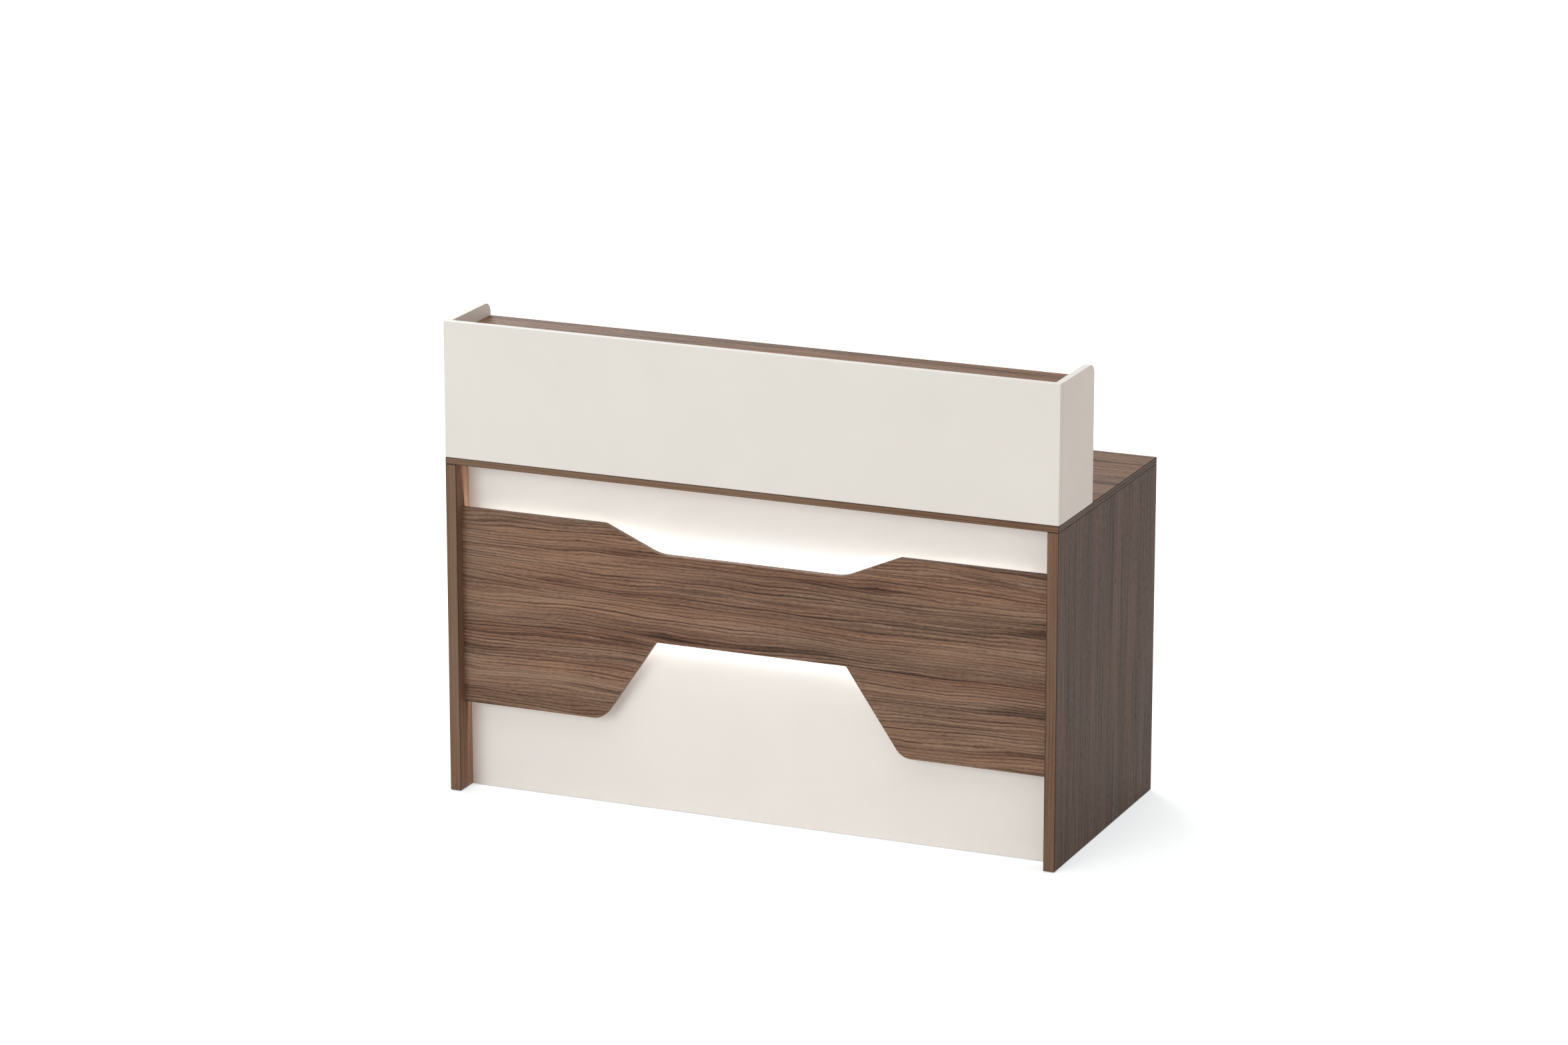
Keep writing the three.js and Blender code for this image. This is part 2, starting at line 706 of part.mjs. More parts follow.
// Switch housing and its rocker, which tips about a pin across the opening
const pivotY = flangeFace - pivotDepth;
const flangeLow = [switchLow[0] - switchLip, driverFace, switchLow[2] - switchLip];
const flangeHigh = [switchHigh[0] + switchLip, flangeFace, switchHigh[2] + switchLip];
const pinReach = rockerWidth / 2 + rockerPinLength;
const pinBore = pinReach + clearance;
const pivot = (x) => [switchX + x, pivotY, driverMiddle];
const housingCuts = [
  block(
    [switchX - openingWidth, openingFloor, driverMiddle - openingHeight],
    [switchX + openingWidth, flangeFace + overrun, driverMiddle + openingHeight],
  ),
  bar(rockerPinRadius + clearance, pivot(-pinBore), pivot(pinBore)),
];
const housingBody = join([block(switchLow, switchHigh), block(flangeLow, flangeHigh)]);
add('switch_housing', cut(housingBody, housingCuts), 'grey');

const rockerOutline = [
  [rockerEdgeRise, -rockerLength / 2],
  [rockerWaistRise, 0],
  [rockerEdgeRise, rockerLength / 2],
  [0, rockerLength / 2],
  [-rockerDrop, 0],
  [0, -rockerLength / 2],
];
const rockerBody = lengthwise(outline(rockerOutline), -rockerWidth / 2, rockerWidth / 2);
const rockerPin = bar(rockerPinRadius, [-pinReach, 0, 0], [pinReach, 0, 0]);
const rocker = add('switch_rocker', join([rockerBody, rockerPin]), 'black');
rocker.position.set(switchX, pivotY, driverMiddle);
rocker.rotation.x = tilt;

// Leads: straight runs with eased bends, out of a channel, through the front panel and into the driver
function easedRoute(points, bend) {
  const route = new THREE.CurvePath();
  let from = new THREE.Vector3(...points[0]);
  for (let i = 1; i < points.length - 1; i += 1) {
    const corner = new THREE.Vector3(...points[i]);
    const next = new THREE.Vector3(...points[i + 1]);
    const start = corner.clone().addScaledVector(corner.clone().sub(from).normalize(), -bend);
    const end = corner.clone().addScaledVector(next.clone().sub(corner).normalize(), bend);
    route.add(new THREE.LineCurve3(from, start));
    route.add(new THREE.QuadraticBezierCurve3(start, corner, end));
    from = end;
  }
  route.add(new THREE.LineCurve3(from, new THREE.Vector3(...points.at(-1))));
  return route;
}

function tube(route, radius) {
  const ring = [];
  for (let i = 0; i < leadSides; i += 1) {
    const angle = (2 * Math.PI * i) / leadSides;
    ring.push(new THREE.Vector2(radius * Math.cos(angle), radius * Math.sin(angle)));
  }
  const settings = { steps: leadSteps, extrudePath: route, bevelEnabled: false };
  return welded(new THREE.ExtrudeGeometry(new THREE.Shape(ring), settings));
}

const leadRows = { upper: upperLeadZ, lower: lowerLeadZ };
for (const [height, z] of Object.entries(leadRows)) {
  const points = [
    [stripEnd + clearance, lightMiddle, z],
    [leadX, lightMiddle, z],
    [leadX, leadY, z],
    [leadX, leadY, leadHeights[height]],
    [leadEntry, leadY, leadHeights[height]],
  ];
  add(`${height}_led_lead`, tube(easedRoute(points, leadBend), leadRadius), 'black');
}

// Glides: a pad with a socket for the stud, a stud turned by a key through the pad, and a threaded insert
const padRadius = padDiameter / 2;
const socketRadius = studDiameter / 2 + clearance;
const padProfile = [
  [keyHoleDiameter / 2, 0],
  [padRadius - padChamfer, 0],
  [padRadius, padChamfer],
  [padRadius, padHeight],
  [socketRadius, padHeight],
  [socketRadius, padFloor],
  [keyHoleDiameter / 2, padFloor],
];
const studRadius = studDiameter / 2;
const studProfile = [
  [0, studFoot],
  [studRadius, studFoot],
  [studRadius, studTop - studChamfer],
  [studRadius - studChamfer, studTop],
  [0, studTop],
];
const hexRadius = hexAcrossFlats / Math.sqrt(3);
const hexSocket = bar(hexRadius, [0, 0, studFoot - overrun], [0, 0, studFoot + hexDepth], 6);
const insertRadius = insertDiameter / 2;
const insertProfile = [
  [socketRadius, glideCeiling],
  [insertRadius, glideCeiling],
  [insertRadius, insertTop],
  [socketRadius, insertTop],
];
for (const { name, x, y } of glides) {
  add(`glide_pad_${name}`, turnedRing(padProfile), 'nylon').position.set(x, y, 0);
  add(`glide_stud_${name}`, cut(turned(studProfile), [hexSocket]), 'steel').position.set(x, y, 0);
  add(`glide_insert_${name}`, turnedRing(insertProfile), 'brass').position.set(x, y, 0);
}

// Grommet: a flanged liner in the worktop's hole and a cap that turns on the liner's ledge
const linerOuter = grommetRadius - clearance;
const linerInner = linerOuter - linerWall;
const ledgeInner = linerInner - ledgeWidth;
const flangeRadius = grommetRadius + linerFlange;
const ledgeTop = -ledgeDepth;
const linerProfile = [
  [linerInner, -linerDepth],
  [linerOuter, -linerDepth],
  [linerOuter, 0],
  [flangeRadius, 0],
  [flangeRadius - capChamfer, linerFlangeThickness],
  [linerInner, linerFlangeThickness],
  [linerInner, ledgeTop],
  [ledgeInner, ledgeTop],
  [ledgeInner, ledgeTop - ledgeThickness],
  [linerInner, ledgeTop - ledgeThickness],
];
const liner = add('grommet_liner', turnedRing(linerProfile, ringSides), 'nylon');
liner.position.set(grommetX, grommetY, worktopHeight);

const capRadius = linerInner - clearance;
const capFoot = ledgeTop + clearance;
const capTop = capFoot + capThickness;
const capProfile = [
  [0, capFoot],
  [capRadius, capFoot],
  [capRadius, capTop - capChamfer],
  [capRadius - capChamfer, capTop],
  [0, capTop],
];
const slotHalf = cableSlotWidth / 2;
const slotCentre = capRadius - cableSlotReach + slotHalf;
const slotFoot = capFoot - overrun;
const slotHead = capTop + overrun;
const slotCuts = [
  bar(slotHalf, [0, slotCentre, slotFoot], [0, slotCentre, slotHead]),
  block([-slotHalf, slotCentre, slotFoot], [slotHalf, capRadius + overrun, slotHead]),
];
const cap = add('grommet_cap', cut(turned(capProfile, ringSides), slotCuts), 'nylon');
cap.position.set(grommetX, grommetY, worktopHeight);

// Cams and their bolts
const camHeadSpace = camBoltRadius + clearance;
const camNeckSpace = camBoltNeck / 2 + clearance;
const camHeadBack = camBoltHeadLength + clearance;
const headPocket = block(
  [-camHeadBack, -camHeadSpace, -camBoltDepth - camHeadSpace],
  [clearance, camHeadSpace, -camBoltDepth + camHeadSpace],
);
const neckSlot = block(
  [-overrun, -camNeckSpace, -camBoltDepth - camHeadSpace],
  [camDiameter, camNeckSpace, -camBoltDepth + camNeckSpace],
);
const neckEnd = camBoltNeckLength - clearance;
const shankSpace = block(
  [neckEnd, -camHeadSpace, -camBoltDepth - camHeadSpace],
  [camDiameter, camHeadSpace, -camBoltDepth + camHeadSpace],
);
const slotReach = camSlotLength / 2;
const slotSide = camSlotWidth / 2;
const camSlot = block([-slotReach, -slotSide, -camSlotDepth], [slotReach, slotSide, overrun]);
const camCross = block([-slotSide, -slotReach, -camSlotDepth], [slotSide, slotReach, overrun]);
const camBlank = bar(camDiameter / 2, [0, 0, -camDepth], [0, 0, 0]);
const camShape = () => cut(camBlank, [headPocket, neckSlot, shankSpace, camSlot, camCross]);

const camBoltProfile = [
  [0, -camBoltHeadLength],
  [camBoltRadius, -camBoltHeadLength],
  [camBoltRadius, 0],
  [camBoltNeck / 2, 0],
  [camBoltNeck / 2, camBoltNeckLength],
  [camBoltRadius, camBoltNeckLength],
  [camBoltRadius, camBoltTip],
  [0, camBoltTip],
];
const camBoltShape = () => turned(camBoltProfile).rotateY(Math.PI / 2).translate(0, 0, -camBoltDepth);

for (const { cam: camName, bolt: boltName, frame } of camFittings) {
  place(add(camName, camShape(), 'zinc'), frame);
  place(add(boltName, camBoltShape(), 'steel'), frame);
}

export default desk;
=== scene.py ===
# %% [markdown]
# A reception desk in walnut and white laminate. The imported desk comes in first, as a set of named solids
# that already stand in the right place and move on the right joints. This lesson dresses them: boards get
# eased edges and a grain, fittings get their fine shapes, and the light lines behind the fascia are lit.

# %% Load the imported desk
import json
import math

import bmesh
import bpy
from mathutils import Matrix, Vector


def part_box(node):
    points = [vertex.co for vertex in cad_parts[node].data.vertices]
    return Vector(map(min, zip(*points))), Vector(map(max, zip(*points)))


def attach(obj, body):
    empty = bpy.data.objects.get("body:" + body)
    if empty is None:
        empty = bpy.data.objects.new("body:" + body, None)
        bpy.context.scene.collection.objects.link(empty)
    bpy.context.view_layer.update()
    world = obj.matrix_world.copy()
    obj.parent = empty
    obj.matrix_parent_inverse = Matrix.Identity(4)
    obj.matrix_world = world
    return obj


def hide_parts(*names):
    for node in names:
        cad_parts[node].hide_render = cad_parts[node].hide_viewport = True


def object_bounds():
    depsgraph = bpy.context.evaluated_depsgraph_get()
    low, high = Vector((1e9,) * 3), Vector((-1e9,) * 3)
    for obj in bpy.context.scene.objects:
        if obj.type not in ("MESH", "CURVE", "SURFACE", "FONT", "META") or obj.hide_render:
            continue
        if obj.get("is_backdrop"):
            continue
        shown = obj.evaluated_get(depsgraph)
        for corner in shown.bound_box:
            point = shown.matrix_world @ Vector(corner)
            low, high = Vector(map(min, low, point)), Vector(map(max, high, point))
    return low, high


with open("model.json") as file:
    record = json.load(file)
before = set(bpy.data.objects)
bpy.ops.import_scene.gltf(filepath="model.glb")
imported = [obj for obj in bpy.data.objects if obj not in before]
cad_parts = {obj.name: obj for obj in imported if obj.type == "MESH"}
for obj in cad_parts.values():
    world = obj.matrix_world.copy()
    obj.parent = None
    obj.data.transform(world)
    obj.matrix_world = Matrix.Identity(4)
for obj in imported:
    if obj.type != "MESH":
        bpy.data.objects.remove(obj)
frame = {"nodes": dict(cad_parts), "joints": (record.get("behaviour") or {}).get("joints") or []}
cad_low, cad_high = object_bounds()
print("desk:", len(frame["nodes"]), "solids, box", [round(v, 4) for v in cad_high - cad_low])

# %% [markdown]
# The portrait is taken from the front right and a little above, from about twelve metres with a long
# lens, so that the desk's parallel edges stay nearly parallel. A camera at rest looks down its own -Z,
# so a quarter turn less the tilt lifts it to look forwards, and the second turn swings it to the left.

# %% Camera
LENS_MM, SENSOR_MM = 130.0, 36.0
TILT_DOWN, SWING_LEFT = 15.661, 23.137  # degrees


def show(thing):
    bpy.context.scene.collection.objects.link(thing)
    return thing


lens_data = bpy.data.cameras.new("portrait_lens")
lens_data.sensor_width = SENSOR_MM
lens_data.lens = LENS_MM
camera = show(bpy.data.objects.new("portrait_camera", lens_data))
camera.location = (4.566, -10.779, 3.886)
camera.rotation_euler = (math.radians(90 - TILT_DOWN), 0.0, math.radians(SWING_LEFT))
bpy.context.scene.camera = camera
print("camera:", round((camera.location - Vector((0, 0, 0.5))).length, 2), "m from the desk")

# %% [markdown]
# Materials are networks of nodes. These helpers keep each network readable: one fills or links a node's
# inputs by name, one adds a node with its options, and one turns an 8-bit colour, as a paint chart gives
# it, into the linear colour that the shader works in. The others add arithmetic, ramps, bumps and groups.


# %% Helpers for node networks
def fill(tree, node, inputs):
    for name, value in inputs.items():
        if isinstance(value, bpy.types.NodeSocket):
            tree.links.new(value, node.inputs[name])
        else:
            node.inputs[name].default_value = value


def add_node(tree, kind, inputs=None, **options):
    made = tree.nodes.new(kind)
    for option, value in options.items():
        setattr(made, option, value)
    fill(tree, made, inputs or {})
    return made


def chart(red, green, blue):
    linear = []
    for value in (red, green, blue):
        share = value / 255
        linear.append(share / 12.92 if share <= 0.04045 else ((share + 0.055) / 1.055) ** 2.4)
    return (*linear, 1.0)


print("helpers: a warm white reads", [round(v, 3) for v in chart(229, 224, 218)])


# %% Helpers for arithmetic in a network
def maths(tree, operation, first, second=0.0, third=0.0):
    inputs = {0: first, 1: second, 2: third}
    return add_node(tree, "ShaderNodeMath", inputs, operation=operation).outputs[0]


def spread(tree, value, from_low, from_high, to_low=0.0, to_high=1.0):
    ends = {"From Min": from_low, "From Max": from_high, "To Min": to_low, "To Max": to_high}
    made = add_node(tree, "ShaderNodeMapRange", {"Value": value, **ends}, interpolation_type="SMOOTHSTEP")
    return made.outputs["Result"]


def ramp(tree, value, stops):
    made = add_node(tree, "ShaderNodeValToRGB", {"Fac": value})
    elements = made.color_ramp.elements
    while len(elements) < len(stops):
        elements.new(0.5)
    for element, (place, colour) in zip(elements, stops):
        element.position = place
        element.color = chart(*colour)
    return made.outputs["Color"]


def plain_shader(name):
    made = bpy.data.materials.new(name)
    made.use_nodes = True
    return made, made.node_tree, made.node_tree.nodes["Principled BSDF"]


def add_bump(tree, shader, height, strength, distance):
    bump = add_node(tree, "ShaderNodeBump", {"Height": height, "Strength": strength, "Distance": distance})
    fill(tree, shader, {"Normal": bump.outputs["Normal"]})


def node_group(name, inputs, outputs):
    made = bpy.data.node_groups.new(name, "ShaderNodeTree")
    for label, value in inputs.items():
        kind = "NodeSocketVector" if value is None else "NodeSocketFloat"
        socket = made.interface.new_socket(label, in_out="INPUT", socket_type=kind)
        if value is not None:
            socket.default_value = value
    for label in outputs:
        made.interface.new_socket(label, in_out="OUTPUT", socket_type="NodeSocketFloat")
    return made


print("helpers: arithmetic, ramps, bumps, groups and a plain shader")

# %% [markdown]
# The floor is a plain white sheet. A photographer lights the paper until it burns out to white and keeps
# only the soft shadow. Here the paper is an ordinary white surface that catches the shadow, and for rays
# that come straight from the camera, or by way of gloss or glass, a little glow is added to reach white.

# %% Floor
FLOOR_RADIUS = 60.0
FLOOR_GLOW = 0.49

paper, paper_tree, paper_shader = plain_shader("paper_white")
paths = add_node(paper_tree, "ShaderNodeLightPath").outputs
seen = maths(paper_tree, "MAXIMUM", paths["Is Camera Ray"], paths["Is Glossy Ray"])
seen = maths(paper_tree, "MAXIMUM", seen, paths["Is Transmission Ray"])
fill(paper_tree, paper_shader, {
    "Base Color": chart(226, 221, 217), "Roughness": 0.9, "Specular IOR Level": 0.1,
    "Emission Color": (0.86, 0.95, 1.0, 1.0),
    "Emission Strength": maths(paper_tree, "MULTIPLY", seen, FLOOR_GLOW),
})

sheet = bmesh.new()
bmesh.ops.create_circle(sheet, cap_ends=True, segments=64, radius=FLOOR_RADIUS)
floor_mesh = bpy.data.meshes.new("paper_floor")
sheet.to_mesh(floor_mesh)
sheet.free()
floor = show(bpy.data.objects.new("paper_floor", floor_mesh))
floor.data.materials.append(paper)
floor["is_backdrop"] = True
print("floor:", len(floor_mesh.polygons), "face,", round(2 * FLOOR_RADIUS), "m across")

# %% [markdown]
# The light is a studio's. A large soft box far off in front, above and to the left, lights the front. A
# smaller one stands behind on the left, and a wide light hangs overhead for the tops. The right-hand side
# is left to the room, a warm grey world colour, so it is about a third darker.

# %% Room light
ROOM_LEVEL, ROOM_SEEN = 0.475, 1.05

world = bpy.data.worlds.new("studio_room")
bpy.context.scene.world = world
world.use_nodes = True
room_tree = world.node_tree
room_paths = add_node(room_tree, "ShaderNodeLightPath").outputs
clear = maths(room_tree, "MAXIMUM", room_paths["Is Camera Ray"], room_paths["Is Transmission Ray"])
levels = {"Value": clear, "To Min": ROOM_LEVEL, "To Max": ROOM_SEEN}
level = add_node(room_tree, "ShaderNodeMapRange", levels).outputs["Result"]
fill(room_tree, room_tree.nodes["Background"], {"Color": (1.0, 0.885, 0.80, 1.0), "Strength": level})
print("room: level", ROOM_LEVEL, "for the desk,", ROOM_SEEN, "for the camera")


# %% Soft boxes and the overhead light
def soft_box(name, place, aim, size, power, colour):
    lamp = bpy.data.lights.new(name, "AREA")
    lamp.shape = "DISK"
    lamp.size = size
    lamp.energy = power
    lamp.color = colour
    made = show(bpy.data.objects.new(name, lamp))
    made.location = place
    made.rotation_euler = (Vector(aim) - Vector(place)).to_track_quat("-Z", "Y").to_euler()
    return made


front_box = soft_box(
    "front_soft_box", place=(-9.6, -25.7, 9.4), aim=(0, -0.3, 0.6), size=17.0, power=3220,
    colour=(0.77, 0.87, 0.905))
soft_box(
    "rear_soft_box", place=(-9.0, 10.0, 6.5), aim=(0, 0.2, 0.6), size=6.0, power=900,
    colour=(0.77, 0.875, 0.905))

overhead = bpy.data.lights.new("overhead_light", "SUN")
overhead.energy = 1.6
overhead.angle = math.radians(80)
overhead.color = (0.82, 0.885, 0.95)
show(bpy.data.objects.new("overhead_light", overhead))
print("light: a soft box of", front_box.data.size, "m and three lesser lights")

# %% [markdown]
# Walnut laminate is a print of real veneer. A slice through the trunk cuts the yearly rings at a low angle,
# so they show as fine dark lines that run the length of the board, swell, pinch and now and then close up
# into a long eye. A photograph of wood could be wrapped on, but it would repeat. Instead the grain is grown
# from noise: each board carries a map in metres, with U along the grain and V across it. Slow noise bends
# V, and every few millimetres of the bent V is a ring, as contour lines follow a hillside.

# %% Walnut grain group
grain_settings = {"Map": None, "Wander": 1.0, "Rings": 1.0, "Depth": 1.0}
grain = node_group("Walnut grain", grain_settings, ("Tone", "Relief", "Warmth"))
print("walnut:", [item.name for item in grain.interface.items_tree])

# %% Noise that is stretched along the grain
BENDS = [(0.8, 3.0, 0.050), (3.0, 13.0, 0.028), (9.0, 48.0, 0.0065)]  # per metre along, across; reach in m


def streaks(along, across, run, rise, layer, detail=2.0, roughness=0.5):
    place = add_node(grain, "ShaderNodeCombineXYZ", {
        "X": maths(grain, "MULTIPLY", along, run),
        "Y": maths(grain, "MULTIPLY", across, rise),
        "Z": layer,
    })
    inputs = {"Vector": place.outputs[0], "Scale": 1.0, "Detail": detail, "Roughness": roughness}
    return add_node(grain, "ShaderNodeTexNoise", inputs).outputs["Fac"]


def blend_sum(*shares):
    total = 0.0
    for value, weight in shares:
        total = maths(grain, "MULTIPLY_ADD", value, weight, total)
    return total


given = add_node(grain, "NodeGroupInput").outputs
split = add_node(grain, "ShaderNodeSeparateXYZ", {"Vector": given["Map"]}).outputs
along, across = split["X"], split["Y"]
push = blend_sum(*[
    (maths(grain, "SUBTRACT", streaks(along, across, run, rise, layer=4.0 * place), 0.5), reach)
    for place, (run, rise, reach) in enumerate(BENDS)])
bent = maths(grain, "MULTIPLY_ADD", push, given["Wander"], across)
bent = maths(grain, "MULTIPLY", bent, given["Rings"])
print("walnut: rings wander up to about", round(500 * sum(reach for _, _, reach in BENDS)), "mm")

# %% Rings, pores and bands
BAND_SHARE, MIDDLE_TONE = 0.30, 0.655


def rings(spacing, start, run, rise, layer, faint):
    turn = maths(grain, "FRACT", maths(grain, "DIVIDE", bent, spacing))
    edge = maths(grain, "MULTIPLY", spread(grain, turn, start, 0.93), spread(grain, turn, 1.0, 0.95))
    vigour = spread(grain, streaks(along, bent, run, rise, layer), 0.36, 0.62, faint, 1.0)
    return maths(grain, "MULTIPLY", edge, vigour)


def veins(low, high, **noise):
    return spread(grain, streaks(along, bent, **noise), low, high)


fine_rings = rings(spacing=0.0072, start=0.46, run=2.8, rise=90.0, layer=21.0, faint=0.34)
bold_rings = rings(spacing=0.0172, start=0.72, run=2.4, rise=40.0, layer=27.0, faint=0.0)
bands = veins(0.30, 0.70, run=0.9, rise=16.0, layer=9.0, detail=3.0, roughness=0.6)
pores = veins(0.60, 0.34, run=70.0, rise=900.0, layer=17.0, detail=1.0)
threads = veins(0.46, 0.70, run=9.0, rise=300.0, layer=31.0)
smudge = veins(0.54, 0.74, run=2.2, rise=55.0, layer=23.0)
warmth = veins(0.32, 0.68, run=1.6, rise=20.0, layer=37.0)
dark = blend_sum((fine_rings, 0.44), (bold_rings, 0.34), (pores, 0.20), (smudge, 0.34), (threads, -0.18))
dark = maths(grain, "MULTIPLY", dark, given["Depth"])
tone = maths(grain, "SUBTRACT", maths(grain, "MULTIPLY_ADD", bands, BAND_SHARE, MIDDLE_TONE), dark)
relief = maths(grain, "SUBTRACT", 1.0, blend_sum((fine_rings, 0.5), (pores, 0.5)))
add_node(grain, "NodeGroupOutput", {"Tone": tone, "Relief": relief, "Warmth": warmth})
print("walnut:", len(grain.nodes), "nodes in the group")

# %% [markdown]
# The desk shows this print in five ways, each the same group with other tones and strengths. The fascia and
# the counter's shelf have the full figure. The ends' outer faces and the worktop's ends are straighter, and
# painted darker as shade on the desk's sides. The worktop has wider lines and more shine. Edge bands and the
# ends' inner faces are calmer. Rounded edges are dark seams.

# %% Walnut finishes
WALNUT = [(0.0, (48, 35, 27)), (0.30, (84, 61, 49)), (0.60, (118, 90, 73)), (0.98, (156, 125, 103))]
# A darker ramp that is painted shade, for the faces on the desk's sides
SIDE_SHADE_WALNUT = [(0.0, (31, 21, 15)), (0.30, (52, 37, 28)), (0.60, (76, 55, 42)), (0.98, (103, 78, 61))]
EDGE_WALNUT = [(0.0, (84, 61, 47)), (0.30, (101, 76, 59)), (0.60, (116, 89, 71)), (0.98, (130, 101, 81))]
SEAM_WALNUT = [(0.0, (38, 27, 21)), (0.30, (50, 36, 28)), (0.60, (62, 46, 36)), (0.98, (76, 58, 46))]


def figured(tree, wander, ring_count, depth):
    place = add_node(tree, "ShaderNodeUVMap", uv_map="Grain").outputs["UV"]
    inputs = {"Map": place, "Wander": wander, "Rings": ring_count, "Depth": depth}
    return add_node(tree, "ShaderNodeGroup", inputs, node_tree=grain).outputs


def walnut(name, tones, wander, ring_count, depth, shine=0.12):
    made, tree, shader = plain_shader(name)
    figure = figured(tree, wander, ring_count, depth)
    colour = ramp(tree, figure["Tone"], tones)
    hue = spread(tree, figure["Warmth"], 0.0, 1.0, to_low=0.503, to_high=0.497)
    richness = spread(tree, figure["Warmth"], 0.0, 1.0, to_low=0.94, to_high=1.04)
    tint = {"Hue": hue, "Saturation": richness, "Color": colour}
    tinted = add_node(tree, "ShaderNodeHueSaturation", tint).outputs["Color"]
    sheen = spread(tree, figure["Relief"], 0.0, 1.0, to_low=0.62, to_high=0.46)
    fill(tree, shader, {"Base Color": tinted, "Roughness": sheen, "Specular IOR Level": shine})
    add_bump(tree, shader, figure["Relief"], strength=0.35, distance=0.0003)
    return made


walnut_figured = walnut("walnut_figured", WALNUT, wander=1.0, ring_count=1.0, depth=1.0)
# Straighter walnut in the darker ramp: painted shade for the side faces
walnut_straight_shaded = walnut("walnut_straight_shaded", SIDE_SHADE_WALNUT, wander=0.3, ring_count=0.9, depth=0.9)
walnut_top = walnut("walnut_top", WALNUT, wander=0.5, ring_count=0.75, depth=1.1, shine=0.25)
walnut_edge = walnut("walnut_edge", EDGE_WALNUT, wander=0.3, ring_count=1.0, depth=0.7)
walnut_seam = walnut("walnut_seam", SEAM_WALNUT, wander=0.3, ring_count=1.0, depth=0.6)
print("walnut: figured, straight, top, edge and seam")

# %% [markdown]
# The white boards are melamine: a warm white print on paper, pressed with a plate that leaves a fine
# pebbled skin. It shows as a slight unevenness of the gloss rather than as colour, so one fine noise
# drives a bump and the roughness, and a second, broad and very faint, keeps the white from being flat.

# %% Pebbled skin group
skin = node_group("Pebbled skin", {"Size": 1000.0, "Drift": 6.0}, ("Pebble", "Cloud"))
skin_given = add_node(skin, "NodeGroupInput").outputs
skin_place = add_node(skin, "ShaderNodeTexCoord").outputs["Object"]
skin_masks = {}
for name, scale, detail in (("Pebble", "Size", 2.0), ("Cloud", "Drift", 3.0)):
    inputs = {"Vector": skin_place, "Scale": skin_given[scale], "Detail": detail}
    skin_masks[name] = add_node(skin, "ShaderNodeTexNoise", inputs).outputs["Fac"]
add_node(skin, "NodeGroupOutput", skin_masks)
print("skin:", len(skin.nodes), "nodes, for the white boards and the plastics")

# %% [markdown]
# The front panel's white is painted lighter, to make up for the shade it stands in behind the fascia; the
# counter has the plain white, and its outer ends are painted darker as shade on its sides. The plastics and
# the sheet that backs the fascia have the same skin in other colours.


# %% White laminate and moulded finishes
def skinned(name, dark, light, size, rough, bump, drift=6.0, shine=0.5):
    made, tree, shader = plain_shader(name)
    surface = add_node(tree, "ShaderNodeGroup", {"Size": size, "Drift": drift}, node_tree=skin).outputs
    colour = ramp(tree, surface["Cloud"], [(0.3, dark), (0.7, light)])
    gloss = spread(tree, surface["Pebble"], 0.3, 0.7, rough - 0.07, rough + 0.07)
    fill(tree, shader, {"Base Color": colour, "Roughness": gloss, "Specular IOR Level": shine})
    add_bump(tree, shader, surface["Pebble"], bump, distance=0.0002)
    return made


PLATE = {"size": 900.0, "rough": 0.5, "bump": 0.12}
white_laminate = skinned("white_laminate", (228, 223, 217), (231, 226, 220), **PLATE, shine=0.35)
# Painted light: the front panel's white is raised to offset the shade of its recess behind the fascia
white_front_lightened = skinned("white_front_lightened", (236, 231, 226), (239, 234, 229), **PLATE, shine=0.35)
# Painted shade: a darker white for the counter's outer ends
white_side_shaded = skinned("white_side_shaded", (219, 213, 206), (224, 218, 211), **PLATE)
driver_black = skinned("driver_black", (27, 27, 29), (37, 37, 39), size=1400.0, rough=0.5, bump=0.3)
switch_grey = skinned("switch_grey", (132, 130, 127), (146, 144, 141), size=1600.0, rough=0.45, bump=0.2)
rocker_black = skinned("rocker_black", (20, 20, 22), (28, 28, 30), size=1800.0, rough=0.36, bump=0.12)
nylon_black = skinned("nylon_black", (36, 36, 38), (48, 48, 50), size=1200.0, rough=0.55, bump=0.35)
sheath_black = skinned("sheath_black", (24, 24, 26), (34, 34, 36), size=500.0, rough=0.42, bump=0.1)
backing_sheet = skinned(
    "backing_sheet", (214, 209, 203), (223, 218, 212), size=700.0, rough=0.8, bump=0.3, drift=40.0,
    shine=0.1)
print("skin: three whites, five plastics and a backing sheet")

# %% [markdown]
# The spacer battens behind the fascia are planed softwood, pale with honey-coloured lines. They use the
# same grain group as the walnut, with wider lines and another ramp, since wood is wood.

# %% Softwood
SOFTWOOD = [(0.0, (168, 124, 78)), (0.4, (196, 160, 114)), (0.8, (216, 186, 144))]

softwood, soft_tree, soft_shader = plain_shader("softwood")
soft_figure = figured(soft_tree, wander=0.4, ring_count=0.7, depth=1.0)
pale = ramp(soft_tree, soft_figure["Tone"], SOFTWOOD)
fill(soft_tree, soft_shader, {"Base Color": pale, "Roughness": 0.7})
add_bump(soft_tree, soft_shader, soft_figure["Relief"], strength=0.3, distance=0.0003)
print("softwood:", len(soft_tree.nodes), "nodes")

# %% [markdown]
# Metal pieces differ by colour and by how they were finished: drawn aluminium has lines along its length,
# plated screws are fairly bright, cast zinc is dull and cloudy, and brass is turned. One group gives a
# stretched noise for the drawn or turned lines, and each metal sets its stretch, colour and roughness.

